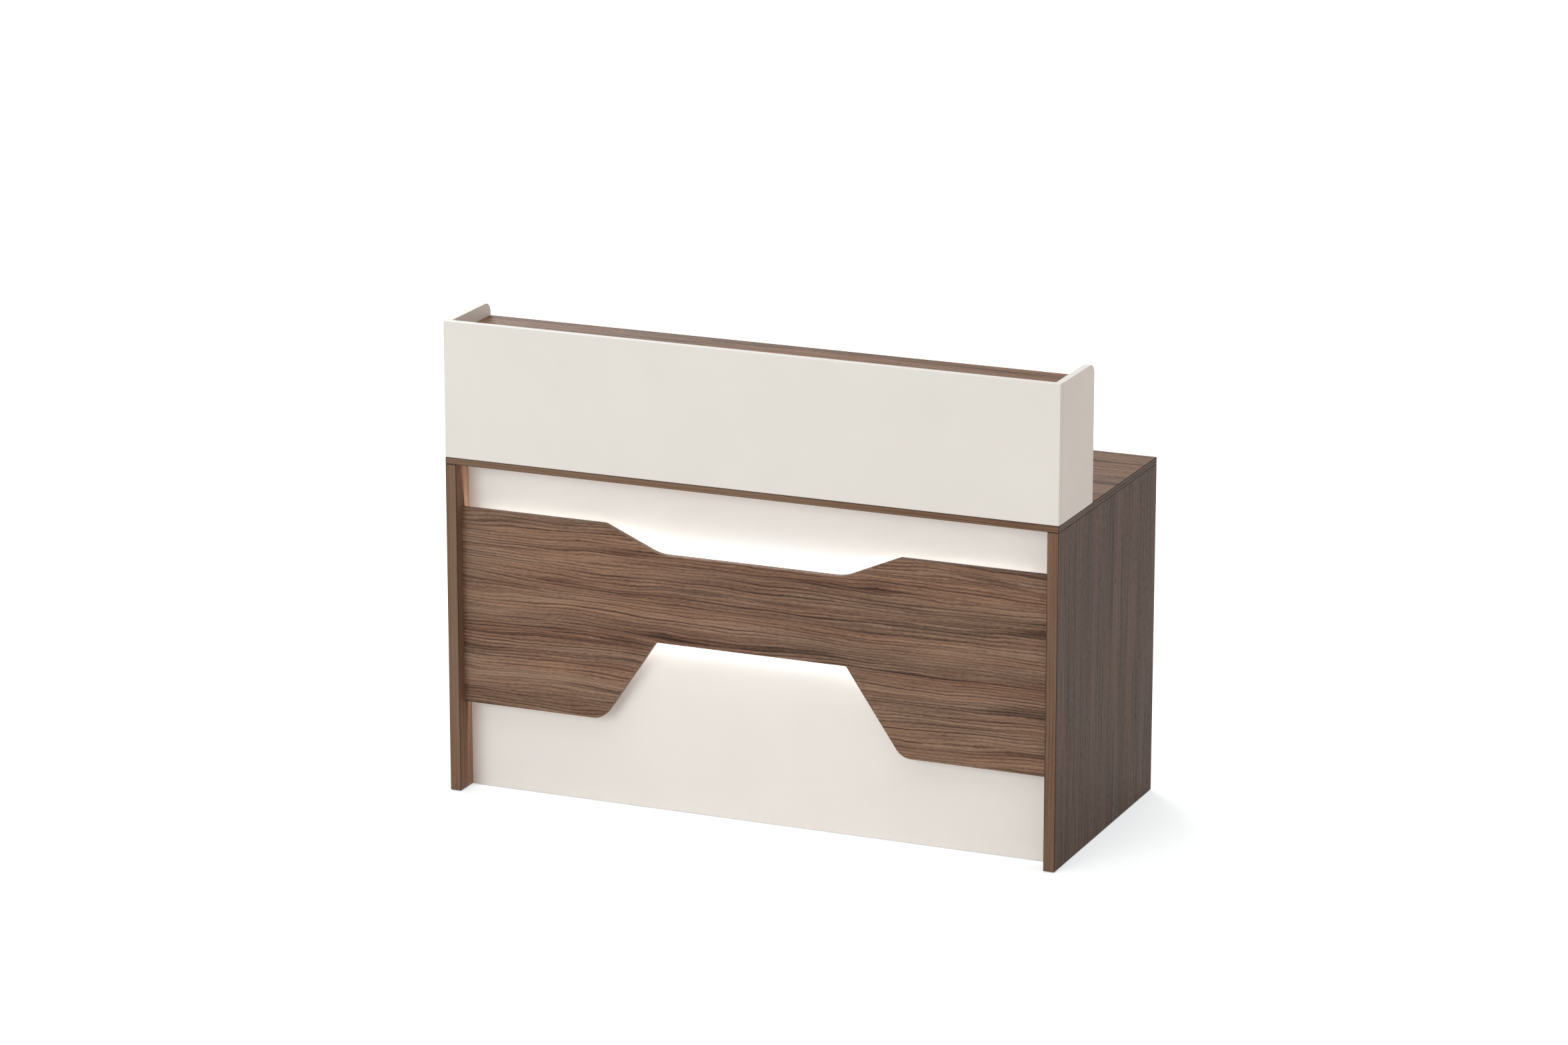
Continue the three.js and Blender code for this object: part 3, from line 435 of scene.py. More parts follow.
# %% Metal finish group
drawn = node_group("Drawn metal", {"Stretch": None}, ("Lines",))
drawn_given = add_node(drawn, "NodeGroupInput").outputs
drawn_place = add_node(drawn, "ShaderNodeTexCoord").outputs["Object"]
inputs = {0: drawn_place, 1: drawn_given["Stretch"]}
stretched = add_node(drawn, "ShaderNodeVectorMath", inputs, operation="MULTIPLY").outputs[0]
drawn_noise = add_node(drawn, "ShaderNodeTexNoise", {"Vector": stretched, "Scale": 1.0, "Detail": 3.0})
add_node(drawn, "NodeGroupOutput", {"Lines": drawn_noise.outputs["Fac"]})
print("metal:", len(drawn.nodes), "nodes in the group")


# %% Metal finishes
def metal(name, dark, light, stretch, rough, bump):
    made, tree, shader = plain_shader(name)
    lines = add_node(tree, "ShaderNodeGroup", {"Stretch": stretch}, node_tree=drawn).outputs["Lines"]
    colour = ramp(tree, lines, [(0.3, dark), (0.7, light)])
    gloss = spread(tree, lines, 0.3, 0.7, rough - 0.08, rough + 0.08)
    fill(tree, shader, {"Base Color": colour, "Roughness": gloss, "Metallic": 1.0})
    add_bump(tree, shader, lines, bump, distance=0.0001)
    return made


channel_aluminium = metal(
    "channel_aluminium", (188, 190, 192), (206, 208, 210), stretch=(6.0, 1800.0, 1800.0), rough=0.38,
    bump=0.15)
plated_steel = metal(
    "plated_steel", (160, 162, 166), (182, 184, 187), stretch=(600.0, 600.0, 600.0), rough=0.32, bump=0.1)
cast_zinc = metal(
    "cast_zinc", (164, 163, 158), (190, 189, 184), stretch=(320.0, 320.0, 320.0), rough=0.48, bump=0.3)
turned_brass = metal(
    "turned_brass", (172, 142, 78), (196, 166, 98), stretch=(150.0, 150.0, 2400.0), rough=0.35, bump=0.15)
print("metal:", [m.name for m in (channel_aluminium, plated_steel, cast_zinc, turned_brass)])

# %% [markdown]
# A light line is an opal cover over a strip of diodes. Seen directly it is an even, slightly cool white, so
# the cover glows by itself; a slow noise along its length keeps the glow from being perfectly even. The
# strip under it has a white mask with a pale yellow square at each diode, drawn by a wave along X.

# %% Opal cover
OPAL_GLOW = 10.8

opal, opal_tree, opal_shader = plain_shader("opal_cover")
opal_place = add_node(opal_tree, "ShaderNodeTexCoord").outputs["Object"]
opal_noise = add_node(opal_tree, "ShaderNodeTexNoise", {"Vector": opal_place, "Scale": 9.0, "Detail": 1.0})
glow = ramp(opal_tree, opal_noise.outputs["Fac"], [(0.3, (246, 250, 255)), (0.7, (252, 253, 255))])
opal_look = {"Emission Color": glow, "Base Color": glow, "Emission Strength": OPAL_GLOW, "Roughness": 0.4}
fill(opal_tree, opal_shader, opal_look)
print("light line: glows at", OPAL_GLOW)

# %% Diode strip
HALF_PITCH = 0.0083  # from a diode to half way to the next
SPOT_SHARE = 0.85  # the rest is noise

diodes, diode_tree, diode_shader = plain_shader("diode_strip")
diode_place = add_node(diode_tree, "ShaderNodeTexCoord").outputs["Object"]
diode_x = add_node(diode_tree, "ShaderNodeSeparateXYZ", {"Vector": diode_place}).outputs["X"]
wave = maths(diode_tree, "PINGPONG", diode_x, HALF_PITCH)
spots = maths(diode_tree, "MULTIPLY", spread(diode_tree, wave, 0.0026, 0.0022), SPOT_SHARE)
mask_noise = add_node(diode_tree, "ShaderNodeTexNoise", {"Vector": diode_place, "Scale": 300.0})
mask = maths(diode_tree, "MULTIPLY", mask_noise.outputs["Fac"], 1 - SPOT_SHARE)
spots = maths(diode_tree, "ADD", spots, mask)
spot_colour = ramp(diode_tree, spots, [(0.1, (238, 236, 228)), (0.9, (232, 206, 96))])
fill(diode_tree, diode_shader, {"Base Color": spot_colour, "Roughness": 0.5})
print("light line: a diode every", round(2000 * HALF_PITCH, 1), "mm")

# %% [markdown]
# Every finished piece is put away in the same manner: slivers that cutting left are dissolved, its mesh is
# written, its faces are smoothed except across sharp edges, it gets its finish, it is hung on the body it
# rides on, and the solids it stands for are hidden.

# %% Put a finished piece in place
SAME_POINT = 1e-6  # points closer than this are one


def put_away(work, name, finish, stands_for, body="desk", place=None, smooth_under=35):
    if place is not None:
        bmesh.ops.transform(work, matrix=place, verts=work.verts)
    bmesh.ops.dissolve_degenerate(work, edges=work.edges, dist=SAME_POINT)
    mesh = bpy.data.meshes.new(name)
    work.to_mesh(mesh)
    work.free()
    if smooth_under:
        mesh.shade_smooth()
        mesh.set_sharp_from_angle(angle=math.radians(smooth_under))
    piece = show(bpy.data.objects.new(name, mesh))
    piece.data.materials.append(finish)
    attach(piece, body)
    if stands_for:
        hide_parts(*stands_for)
    return piece


# %% [markdown]
# A board starts as a copy of its own solid, so that every bore and pocket is where the fittings need it.
# The copy's loose triangles are welded and its flat faces joined up again. Then the long outer edges are
# eased with a bevel of a little over a millimetre: a real edge band is never sharp, and that thin round is
# what catches the light along the counter's rim and draws the dark line where two boards meet.

# %% Ease the edges of a board
BOARD_EASE, COUNTER_EASE = 0.0012, 0.0016


def ease(work, edges, by, segments=3):
    return bmesh.ops.bevel(
        work, geom=edges, offset=by, offset_type="OFFSET", affect="EDGES", segments=segments, profile=0.5,
        clamp_overlap=True, material=-1)


def eased_copy(node, by, smallest_face=4e-5):
    work = bmesh.new()
    work.from_mesh(frame["nodes"][node].data)
    bmesh.ops.remove_doubles(work, verts=work.verts, dist=SAME_POINT)
    bmesh.ops.dissolve_limit(work, angle_limit=math.radians(0.4), verts=work.verts, edges=work.edges)
    for face in work.faces:
        face.smooth = max(abs(v) for v in face.normal) < 0.999
    rims = []
    for edge in work.edges:
        wide = all(face.calc_area() > smallest_face for face in edge.link_faces)
        if edge.is_convex and wide and edge.calc_face_angle(0) > math.radians(40):
            rims.append(edge)
    for face in ease(work, rims, by)["faces"]:
        face.smooth = True
    return work


print("boards: eased by", BOARD_EASE, "m, the counter's by", COUNTER_EASE, "m")

# %% [markdown]
# The grain map says where each face lies in the print. Each board has its own seed, which shifts it to
# another part of the print. An edge face turns its map to run along the edge, as a glued band does.

# %% Lay the grain map on a board
EDGE_SHIFT = 3.3  # of edge faces
SEED_ALONG, SEED_ACROSS = 1.37, 0.61


def lay_grain(work, along, thick, seed):
    along, thick = Vector(along), Vector(thick)
    across = thick.cross(along)
    layer = work.loops.layers.uv.new("Grain")
    for face in work.faces:
        flat = abs(face.normal.dot(thick)) > 0.7
        tangent = along if flat else thick.cross(face.normal).normalized()
        if not flat and tangent.dot(along) < 0:
            tangent = -tangent
        for loop in face.loops:
            point = loop.vert.co
            step = point.dot(across) if flat else point.dot(thick) + EDGE_SHIFT
            loop[layer].uv = (point.dot(tangent) + SEED_ALONG * seed, step + SEED_ACROSS * seed)


def board(node, finish, along, thick, seed, by=BOARD_EASE, others=()):
    work = eased_copy(node, by)
    lay_grain(work, along, thick, seed)
    for face in work.faces:
        for place, (_, belongs) in enumerate(others, start=1):
            if belongs(face.normal):
                face.material_index = place
    piece = put_away(work, node + "_board", finish, [node], smooth_under=None)
    for other, _ in others:
        piece.data.materials.append(other)
    print(node, "-", len(piece.data.polygons), "faces,", 1 + len(others), "finishes")


print("grain: a seed moves a board", SEED_ALONG, "m along the print")

# %% [markdown]
# The desk is a box of boards: two end panels with upright grain, a worktop with grain along its length, a
# white front panel between the ends, and the fascia that stands in front of it. The counter is a white
# front and two cheeks with a walnut shelf. X runs along the desk, Y through it and Z up, so each board is
# named with the axis its grain follows and the axis of its thickness. A board's other finishes come with a
# test of where a face looks, and the last one that fits is used.

# %% Which way a face looks
X, Y, Z = (1, 0, 0), (0, 1, 0), (0, 0, 1)
LEFTWARD = (-1, 0, 0)
SQUARE_ON = 0.95  # cosine of about 18 degrees


def looks(way):
    return lambda normal: normal.dot(way) > SQUARE_ON


def looks_elsewhere(way):
    return lambda normal: normal.dot(way) < SQUARE_ON


def looks_along(axis):
    return lambda normal: abs(normal.dot(axis)) > SQUARE_ON


def rounded(normal):
    return max(abs(v) for v in normal) < 0.99


dark_seam = (walnut_seam, rounded)
print("faces: a slanted one is rounded:", rounded(Vector((0.6, 0.8, 0.0))))

# %% Boards of the desk
# The end panels' outward faces get the darker walnut as painted shade; edges and inner faces keep the
# ordinary tone
for side, outward, seed in (("left", LEFTWARD, 1), ("right", X, 4)):
    board(side + "_end_panel", walnut_straight_shaded, along=Z, thick=X, seed=seed,
          others=[(walnut_edge, looks_elsewhere(outward)), dark_seam])
# The worktop's ends get the same painted shade
board("worktop", walnut_top, along=X, thick=Z, seed=2,
      others=[(walnut_edge, looks_along(Y)), (walnut_straight_shaded, looks_along(X)), dark_seam])
board("fascia_panel", walnut_figured, along=X, thick=Y, seed=5,
      others=[(backing_sheet, looks(Y))])
board("stiffener_rail", walnut_top, along=X, thick=Y, seed=7)
# The front panel takes the lightened white, painted light against the shade of its recess
board("front_panel", white_front_lightened, along=X, thick=Y, seed=0)

# %% Boards of the counter
# The counter's ends and the cheeks' outward faces take the darker white as painted shade
board("counter_front_panel", white_laminate, along=X, thick=Y, seed=0, by=COUNTER_EASE,
      others=[(white_side_shaded, looks_along(X))])
for side, outward in (("left", LEFTWARD), ("right", X)):
    board(f"counter_{side}_cheek", white_laminate, along=Z, thick=X, seed=0,
          by=COUNTER_EASE, others=[(white_side_shaded, looks(outward))])
board("counter_shelf", walnut_figured, along=X, thick=Z, seed=3)

# %% Spacer battens behind the fascia
TIERS = ("upper", "lower")
for tier in TIERS:
    board(tier + "_spacer_batten", softwood, along=X, thick=Y, seed=6)

# %% [markdown]
# The rest of a light line keeps its solids: the aluminium channel, the diode strip and the opal cover
# are plain extrusions on the real desk too, so they only need their finishes. So do the cam bolts, which
# are buried in the boards.


# %% Finishes for the solids that stay
def finish_node(node, finish):
    solid = frame["nodes"][node]
    solid.data.materials.clear()
    solid.data.materials.append(finish)


for tier in TIERS:
    finish_node(tier + "_led_channel", channel_aluminium)
    finish_node(tier + "_led_strip", diodes)
    finish_node(tier + "_diffuser", opal)
buried = [node for node in frame["nodes"] if "cam_bolt" in node]
for node in buried:
    finish_node(node, plated_steel)
print("kept solids:", len(buried), "cam bolts and two light lines")

# %% [markdown]
# A line of diodes does more than glow: it also throws a beam up or down the gap behind the fascia, which
# draws a bright stripe on the end panels beside the white panel. The glow of the cover alone is too soft
# for that, so a lamp of the cover's own size lies on it. It is linked to the end panels, because the
# white panel and the fascia already get their light from the cover.

# %% Beams of the light lines
BEAM_COLOUR = (1.0, 0.91, 0.89)
BEAM_LIFT = 0.0005  # over its cover

beam_catchers = bpy.data.collections.new("end_panels_in_the_beam")
for side in ("left", "right"):
    beam_catchers.objects.link(bpy.data.objects[side + "_end_panel_board"])
for tier, upward, power in (("upper", True, 3.3), ("lower", False, 5.0)):
    low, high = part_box(tier + "_diffuser")
    lamp = bpy.data.lights.new(tier + "_beam", "AREA")
    lamp.shape = "RECTANGLE"
    lamp.size, lamp.size_y = high.x - low.x, high.y - low.y
    lamp.energy = power
    lamp.color = BEAM_COLOUR
    beam = show(bpy.data.objects.new(tier + "_beam", lamp))
    face_z = high.z + BEAM_LIFT if upward else low.z - BEAM_LIFT
    beam.location = ((low.x + high.x) / 2, (low.y + high.y) / 2, face_z)
    beam.rotation_euler = (math.pi if upward else 0.0, 0.0, 0.0)
    beam.visible_camera = False
    beam.light_linking.receiver_collection = beam_catchers

# %% [markdown]
# Fittings are mostly turned, so one helper spins a profile of radius and height round an axis. A second
# eases the rims with a small bevel, and a third cuts a slot or socket with a Boolean modifier, which is
# then made part of the mesh so that nothing live is left behind.


# %% Turned pieces
def turned(profile, steps=48, ring=False):
    work = bmesh.new()
    points = [work.verts.new((radius, 0.0, height)) for radius, height in profile]
    edges = [work.edges.new(pair) for pair in zip(points, points[1:])]
    if ring:
        edges.append(work.edges.new((points[-1], points[0])))
    bmesh.ops.spin(
        work, geom=points + edges, cent=(0, 0, 0), axis=Z, dvec=(0, 0, 0), angle=2 * math.pi, steps=steps,
        use_merge=True)
    bmesh.ops.remove_doubles(work, verts=work.verts, dist=1e-7)
    bmesh.ops.recalc_face_normals(work, faces=work.faces)
    return work


def ease_rims(work, by, over=50):
    sharp = math.radians(over)
    ease(work, [edge for edge in work.edges if edge.is_manifold and edge.calc_face_angle(0) > sharp], by)
    return work


def brick(low, high):
    work = bmesh.new()
    bmesh.ops.create_cube(work, size=1.0)
    low, high = Vector(low), Vector(high)
    bmesh.ops.scale(work, vec=high - low, verts=work.verts)
    bmesh.ops.translate(work, vec=(low + high) / 2, verts=work.verts)
    return work


print("fittings: turned, eased and carved")

# %% Carved recesses
OVERSHOOT = 0.002  # of a cutter, out of the face it cuts


def carve(work, cutters):
    blanks = []
    for each in (work, *cutters):
        mesh = bpy.data.meshes.new("blank")
        each.to_mesh(mesh)
        each.free()
        blanks.append(show(bpy.data.objects.new("blank", mesh)))
    stock = blanks[0]
    for cutter in blanks[1:]:
        cut = stock.modifiers.new("cut", "BOOLEAN")
        cut.operation = "DIFFERENCE"
        cut.solver = "EXACT"
        cut.object = cutter
    shaped = stock.evaluated_get(bpy.context.evaluated_depsgraph_get())
    done = bmesh.new()
    done.from_mesh(shaped.data)
    for blank in blanks:
        bpy.data.objects.remove(blank)
    return done


def cross_cutters(top, length, width, depth):
    long, half = length / 2, width / 2
    low, high = top - depth, top + OVERSHOOT
    return [brick((-long, -half, low), (long, half, high)), brick((-half, -long, low), (half, long, high))]


def facing(at, outward, towards):
    z, x = Vector(outward), Vector(towards)
    return Matrix.Translation(Vector(at)) @ Matrix((x, z.cross(x), z)).transposed().to_4x4()


print("carving: cutters overshoot by", 1000 * OVERSHOOT, "mm")

# %% [markdown]
# A cam is a cast zinc barrel that lies flush in the board's face. A quarter turn with a screwdriver draws
# the bolt in, so its face has a cross recess, a chamfered rim and a small notch that points at the bolt.
# Inside, a pocket holds the bolt's head, and a slot lets its neck and shank come in from the side.

# %% Cams
SIDES = (("left", -1), ("right", 1))


def cam(node, face, outward, towards):
    barrel = turned([
        (0, -0.012), (0.0074, -0.012), (0.0074, -0.0006), (0.0068, 0.0), (0.0052, 0.0), (0.0048, -0.0003),
        (0, -0.0003)])
    recess = cross_cutters(top=-0.0003, length=0.0086, width=0.0016, depth=0.0018)
    notch = turned([(0, -0.0007), (0.0009, -0.0007), (0.0009, OVERSHOOT), (0, OVERSHOOT)], steps=3)
    bmesh.ops.translate(notch, vec=(0.0060, 0, 0), verts=notch.verts)
    head_room = brick((-0.0033, -0.0033, -0.0108), (0.0003, 0.0033, -0.0042))
    neck_room = brick((-0.0005, -0.0023, -0.0108), (0.0150, 0.0023, -0.0052))
    shank_room = brick((0.0037, -0.0033, -0.0108), (0.0150, 0.0033, -0.0042))
    work = carve(barrel, [*recess, notch, head_room, neck_room, shank_room])
    put_away(work, node + "_barrel", cast_zinc, [node], place=facing(face, outward, towards))


for tier in TIERS:
    for side, sign in SIDES:
        low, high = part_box(f"panel_cam_{tier}_{side}")
        middle = (low + high) / 2
        cam(f"panel_cam_{tier}_{side}", (middle.x, high.y, middle.z), Y, (sign, 0, 0))
for side, sign in SIDES:
    low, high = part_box(f"worktop_cam_{side}")
    middle = (low + high) / 2
    cam(f"worktop_cam_{side}", (high.x if sign < 0 else low.x, middle.y, middle.z), (-sign, 0, 0), Z)
low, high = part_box("worktop_cam_front")
cam("worktop_cam_front", ((low.x + high.x) / 2, high.y, (low.z + high.z) / 2), Y, Z)
print("cams: 7, each", round(1000 * (high.y - low.y), 1), "mm deep")

# %% [markdown]
# The fascia's screws have pan heads that show on the staff side. The counter's screws come up through the
# worktop with flush heads. Both are turned from a profile and get a cross recess.

# %% Screws
PAN_HEIGHT = 0.0024
PAN_HEAD = [
    (0, -PAN_HEIGHT), (0.0016, -0.00232), (0.0028, -0.002), (0.0036, -0.0014), (0.004, -0.0006), (0.004, 0),
    (0.002, 0)]
FLUSH_HEAD = [(0, 0), (0.0039, 0), (0.004, 0.0001), (0.002, 0.0021)]


def screw(node, head, length, top, place):
    tip = [(0.002, length - 0.004), (0.0, length)]
    recess = cross_cutters(top=0.0, length=0.0046, width=0.0010, depth=0.0013)
    for cutter in recess:
        bmesh.ops.rotate(cutter, cent=(0, 0, 0), matrix=Matrix.Rotation(math.pi, 3, "X"), verts=cutter.verts)
        bmesh.ops.translate(cutter, vec=(0, 0, top), verts=cutter.verts)
    work = carve(turned(head + tip, steps=40), recess)
    put_away(work, node + "_turned", plated_steel, [node], place=place)


for node in [name for name in frame["nodes"] if name.startswith("fascia_screw")]:
    low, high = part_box(node)
    seat = ((low.x + high.x) / 2, high.y - PAN_HEIGHT, (low.z + high.z) / 2)
    screw(node, PAN_HEAD, high.y - PAN_HEIGHT - low.y, -PAN_HEIGHT, facing(seat, (0, -1, 0), X))
for node in [name for name in frame["nodes"] if name.startswith("counter_screw")]:
    low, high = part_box(node)
    foot = ((low.x + high.x) / 2, (low.y + high.y) / 2, low.z)
    screw(node, FLUSH_HEAD, high.z - low.z, 0.0, Matrix.Translation(foot))
print("screws: 8, the counter's", round(1000 * (high.z - low.z), 1), "mm long")

# %% [markdown]
# Each end panel stands on two levelling glides. A brass insert is let into the board, a steel stud screws
# into it, and its foot turns in a nylon pad. A key through the pad turns the stud by its hexagon.
# The thread is a real helix: one tooth is spun round and round while it climbs by the pitch.

# %% Threaded stud
ROOT, CREST, PITCH = 0.0034, 0.004, 0.00125
TOOTH = [(ROOT, 0.0), (ROOT, 0.12), (CREST, 0.44), (CREST, 0.56), (ROOT, 0.88), (ROOT, 1.0)]


def threaded(low, high, steps=20):
    turns = math.ceil((high - low) / PITCH) + 2
    work = bmesh.new()
    points = [work.verts.new((radius, 0.0, low - PITCH + share * PITCH)) for radius, share in TOOTH]
    edges = [work.edges.new(pair) for pair in zip(points, points[1:])]
    bmesh.ops.spin(
        work, geom=points + edges, cent=(0, 0, 0), axis=Z, dvec=(0, 0, PITCH / steps),
        angle=2 * math.pi * turns, steps=steps * turns, use_merge=False)
    bmesh.ops.remove_doubles(work, verts=work.verts, dist=2e-6)
    for height, keep_above in ((low, True), (high, False)):
        everything = list(work.verts) + list(work.edges) + list(work.faces)
        bmesh.ops.bisect_plane(
            work, geom=everything, plane_co=(0, 0, height), plane_no=Z, clear_inner=keep_above,
            clear_outer=not keep_above)
    open_edges = [edge for edge in work.edges if edge.is_boundary]
    bmesh.ops.holes_fill(work, edges=open_edges, sides=0)
    bmesh.ops.recalc_face_normals(work, faces=work.faces)
    return work


print("stud: a thread of", 1000 * PITCH, "mm a turn")

# %% Profiles of the glides
COLLAR_TOP = 0.0063
PAD_PROFILE = [
    (0.0032, 0.0), (0.0082, 0.0), (0.0086, 0.0001), (0.00895, 0.0006), (0.009, 0.0012), (0.009, 0.0042),
    (0.0088, 0.0047), (0.0084, 0.005), (0.0043, 0.005), (0.0043, 0.002), (0.0032, 0.002)]
RIDGES, RIDGE_PITCH = 9, 0.0021
insert_profile = [(0.0043, 0.0), (0.006, 0.0)]
for ridge in range(RIDGES):
    rise = RIDGE_PITCH * ridge
    insert_profile += [(0.006, 0.0012 + rise), (0.0056, 0.0016 + rise), (0.006, 0.0020 + rise)]
insert_profile += [(0.006, 0.02), (0.0043, 0.02)]
KEY_PROFILE = [(0, 0), (0.0029, 0), (0.0029, 0.0065), (0, 0.0065)]
print("glides: an insert has", RIDGES, "grooves")

# %% Glides
for corner in ("front_left", "front_right", "rear_left", "rear_right"):
    pad, stud, insert = (f"glide_{kind}_{corner}" for kind in ("pad", "stud", "insert"))
    low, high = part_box(pad)
    axis = Matrix.Translation(((low.x + high.x) / 2, (low.y + high.y) / 2, 0))
    put_away(turned(PAD_PROFILE, ring=True), pad + "_moulded", nylon_black, [pad],
             body=corner + "_pad", place=axis)
    foot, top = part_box(stud)
    collar_profile = [(0, foot.z), (CREST, foot.z), (CREST, COLLAR_TOP), (0, COLLAR_TOP)]
    work = carve(turned(collar_profile), [turned(KEY_PROFILE, steps=6)])
    thread = threaded(COLLAR_TOP, top.z)
    mesh = bpy.data.meshes.new("thread")
    thread.to_mesh(mesh)
    work.from_mesh(mesh)
    thread.free()
    put_away(work, stud + "_threaded", plated_steel, [stud], body=corner + "_stud",
             place=axis)
    base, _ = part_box(insert)
    put_away(turned(insert_profile, ring=True), insert + "_turned", turned_brass, [insert],
             place=axis @ Matrix.Translation((0, 0, base.z)))
print("glides: 4, each with a pad, a stud and an insert")

# %% [markdown]
# Cables drop through a round grommet behind the counter. Its liner has a flange that covers the cut edge
# of the laminate, and its cap, with a slot for the cables, lies on a ledge and can be turned. Both are
# moulded, so every rim is slightly round.

# %% Grommet liner
WORKTOP_TOP = 0.750
FLANGE = 0.035  # radius

low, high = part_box("grommet_liner")
grommet_axis = Matrix.Translation(((low.x + high.x) / 2, (low.y + high.y) / 2, WORKTOP_TOP))
liner_foot = low.z - WORKTOP_TOP
liner_profile = [
    (0.0277, liner_foot), (0.0297, liner_foot), (0.0297, 0.0), (FLANGE, 0.0), (FLANGE, 0.0008),
    (0.0346, 0.0018), (0.0338, 0.0023), (0.033, 0.0025), (0.0284, 0.0025), (0.0279, 0.0023), (0.0277, 0.0018),
    (0.0277, -0.003), (0.0255, -0.003), (0.0255, -0.005), (0.0277, -0.005)]
put_away(turned(liner_profile, steps=96, ring=True), "grommet_liner_moulded", nylon_black, ["grommet_liner"],
         place=grommet_axis)
print("grommet:", round(2000 * FLANGE), "mm across its flange")

# %% Grommet cap
SLOT_HALF, SLOT_END = 0.008, 0.0154  # half its width, and where its round end is

low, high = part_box("grommet_cap")
under, over = low.z - WORKTOP_TOP, high.z - WORKTOP_TOP
cap_profile = [
    (0, under), (0.0274, under), (0.0274, over - 0.0012), (0.0271, over - 0.0004), (0.0264, over),
    (0.0236, over), (0.0232, over - 0.0004), (0.0228, over - 0.0006), (0, over - 0.0006)]
cut_low, cut_high = under - 0.01, over + 0.01
slot_end = turned([(0, cut_low), (SLOT_HALF, cut_low), (SLOT_HALF, cut_high), (0, cut_high)], steps=48)
bmesh.ops.translate(slot_end, vec=(0, SLOT_END, 0), verts=slot_end.verts)
slot_run = brick((-SLOT_HALF, SLOT_END, cut_low), (SLOT_HALF, 0.05, cut_high))
cap = carve(turned(cap_profile, steps=96), [slot_end, slot_run])
put_away(cap, "grommet_cap_moulded", nylon_black, ["grommet_cap"], body="grommet_cap",
         place=grommet_axis)
print("grommet: a cable slot", round(2000 * SLOT_HALF), "mm wide")

# %% [markdown]
# The driver that feeds the light lines is a black potted case on the back of the front panel. Its long
# edges are well rounded, a groove near each end marks where the end caps are pressed on, and it has a
# socket for the mains at one end, two lead holes at the other and an opening for the switch in its face.

# %% Driver case
CAP_LENGTH = 0.014
GROOVE_HALF, GROOVE_DEPTH = 0.0005, 0.0006

low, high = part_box("led_driver")
case = brick(low, high)
long_edges = [edge for edge in case.edges if all(vert.co.y > high.y - 1e-5 for vert in edge.verts)
              and abs(edge.verts[0].co.z - edge.verts[1].co.z) < 1e-6]
ease(case, long_edges, by=0.004, segments=6)
ease_rims(case, by=0.0007)
for groove_x in (low.x + CAP_LENGTH, high.x - CAP_LENGTH):
    for shift in (-GROOVE_HALF, 0.0, GROOVE_HALF):
        everything = list(case.verts) + list(case.edges) + list(case.faces)
        bmesh.ops.bisect_plane(case, geom=everything, plane_co=(groove_x + shift, 0, 0), plane_no=X)
    centre = Vector((groove_x, low.y, (low.z + high.z) / 2))
    for vert in case.verts:
        if abs(vert.co.x - groove_x) < 1e-5 and vert.co.y > low.y + 1e-4:
            vert.co += (centre - vert.co).normalized() * GROOVE_DEPTH
print("driver:", [round(1000 * v) for v in high - low], "mm")

# %% Driver sockets
SWITCH_LIP = 0.0017
PIN_RISE, LEAD_RISE = 0.0043, 0.009  # from the middle of the end
INLET_RADIUS, INLET_DEPTH = 0.0045, 0.012
INLET_OUT = 0.014  # from the panel to its middle


def bore(radius, depth, steps, at, outward):
    drill = turned([(0, -depth), (radius, -depth), (radius, OVERSHOOT), (0, OVERSHOOT)], steps=steps)
    bmesh.ops.transform(drill, matrix=facing(at, outward, Y), verts=drill.verts)
    return drill


switch_low, switch_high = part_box("switch_housing")
well = brick(
    (switch_low.x + SWITCH_LIP, switch_low.y - 0.0003, switch_low.z + SWITCH_LIP),
    (switch_high.x - SWITCH_LIP, high.y + OVERSHOOT, switch_high.z - SWITCH_LIP))
inlet_y, inlet_z = low.y + INLET_OUT, (low.z + high.z) / 2
lead_y = (low.y + high.y) / 2
inlet = [bore(INLET_RADIUS, INLET_DEPTH, steps=32, at=(low.x, inlet_y, inlet_z + rise), outward=LEFTWARD)
         for rise in (-PIN_RISE, PIN_RISE)]
inlet.append(brick(
    (low.x - OVERSHOOT, inlet_y - INLET_RADIUS, inlet_z - PIN_RISE),
    (low.x + INLET_DEPTH, inlet_y + INLET_RADIUS, inlet_z + PIN_RISE)))
lead_holes = [bore(radius=0.0018, depth=0.0063, steps=24, at=(high.x, lead_y, inlet_z + rise), outward=X)
              for rise in (-LEAD_RISE, LEAD_RISE)]
put_away(carve(case, [well, *inlet, *lead_holes]), "led_driver_case", driver_black, ["led_driver"],
         smooth_under=40)
for name, rise in (("lower", -PIN_RISE), ("upper", PIN_RISE)):
    pin = turned([(0, 0.0), (0.0012, 0.0), (0.0012, 0.0092), (0.0008, 0.01), (0, 0.01)], steps=20)
    put_away(pin, f"inlet_pin_{name}", plated_steel, [],
             place=facing((low.x + INLET_DEPTH, inlet_y, inlet_z + rise), LEFTWARD, Y))
print("driver: a switch well, a two-pin inlet and two lead holes")

# %% [markdown]
# The switch has a grey frame that snaps into the driver's face, and a black rocker that tips on a pin.
# The frame is a copy of its solid with eased rims. The rocker is drawn as a side view, with a dished
# face, and given its width; it stands tipped, with the upper half pressed in.

# %% Switch frame
switch_frame = eased_copy("switch_housing", by=0.0004, smallest_face=8e-6)
put_away(switch_frame, "switch_frame", switch_grey, ["switch_housing"])
pivot = Vector(next(joint for joint in frame["joints"] if joint["name"] == "switch_rock")["pos_m"])
print("switch: pivot at", [round(v, 4) for v in pivot])

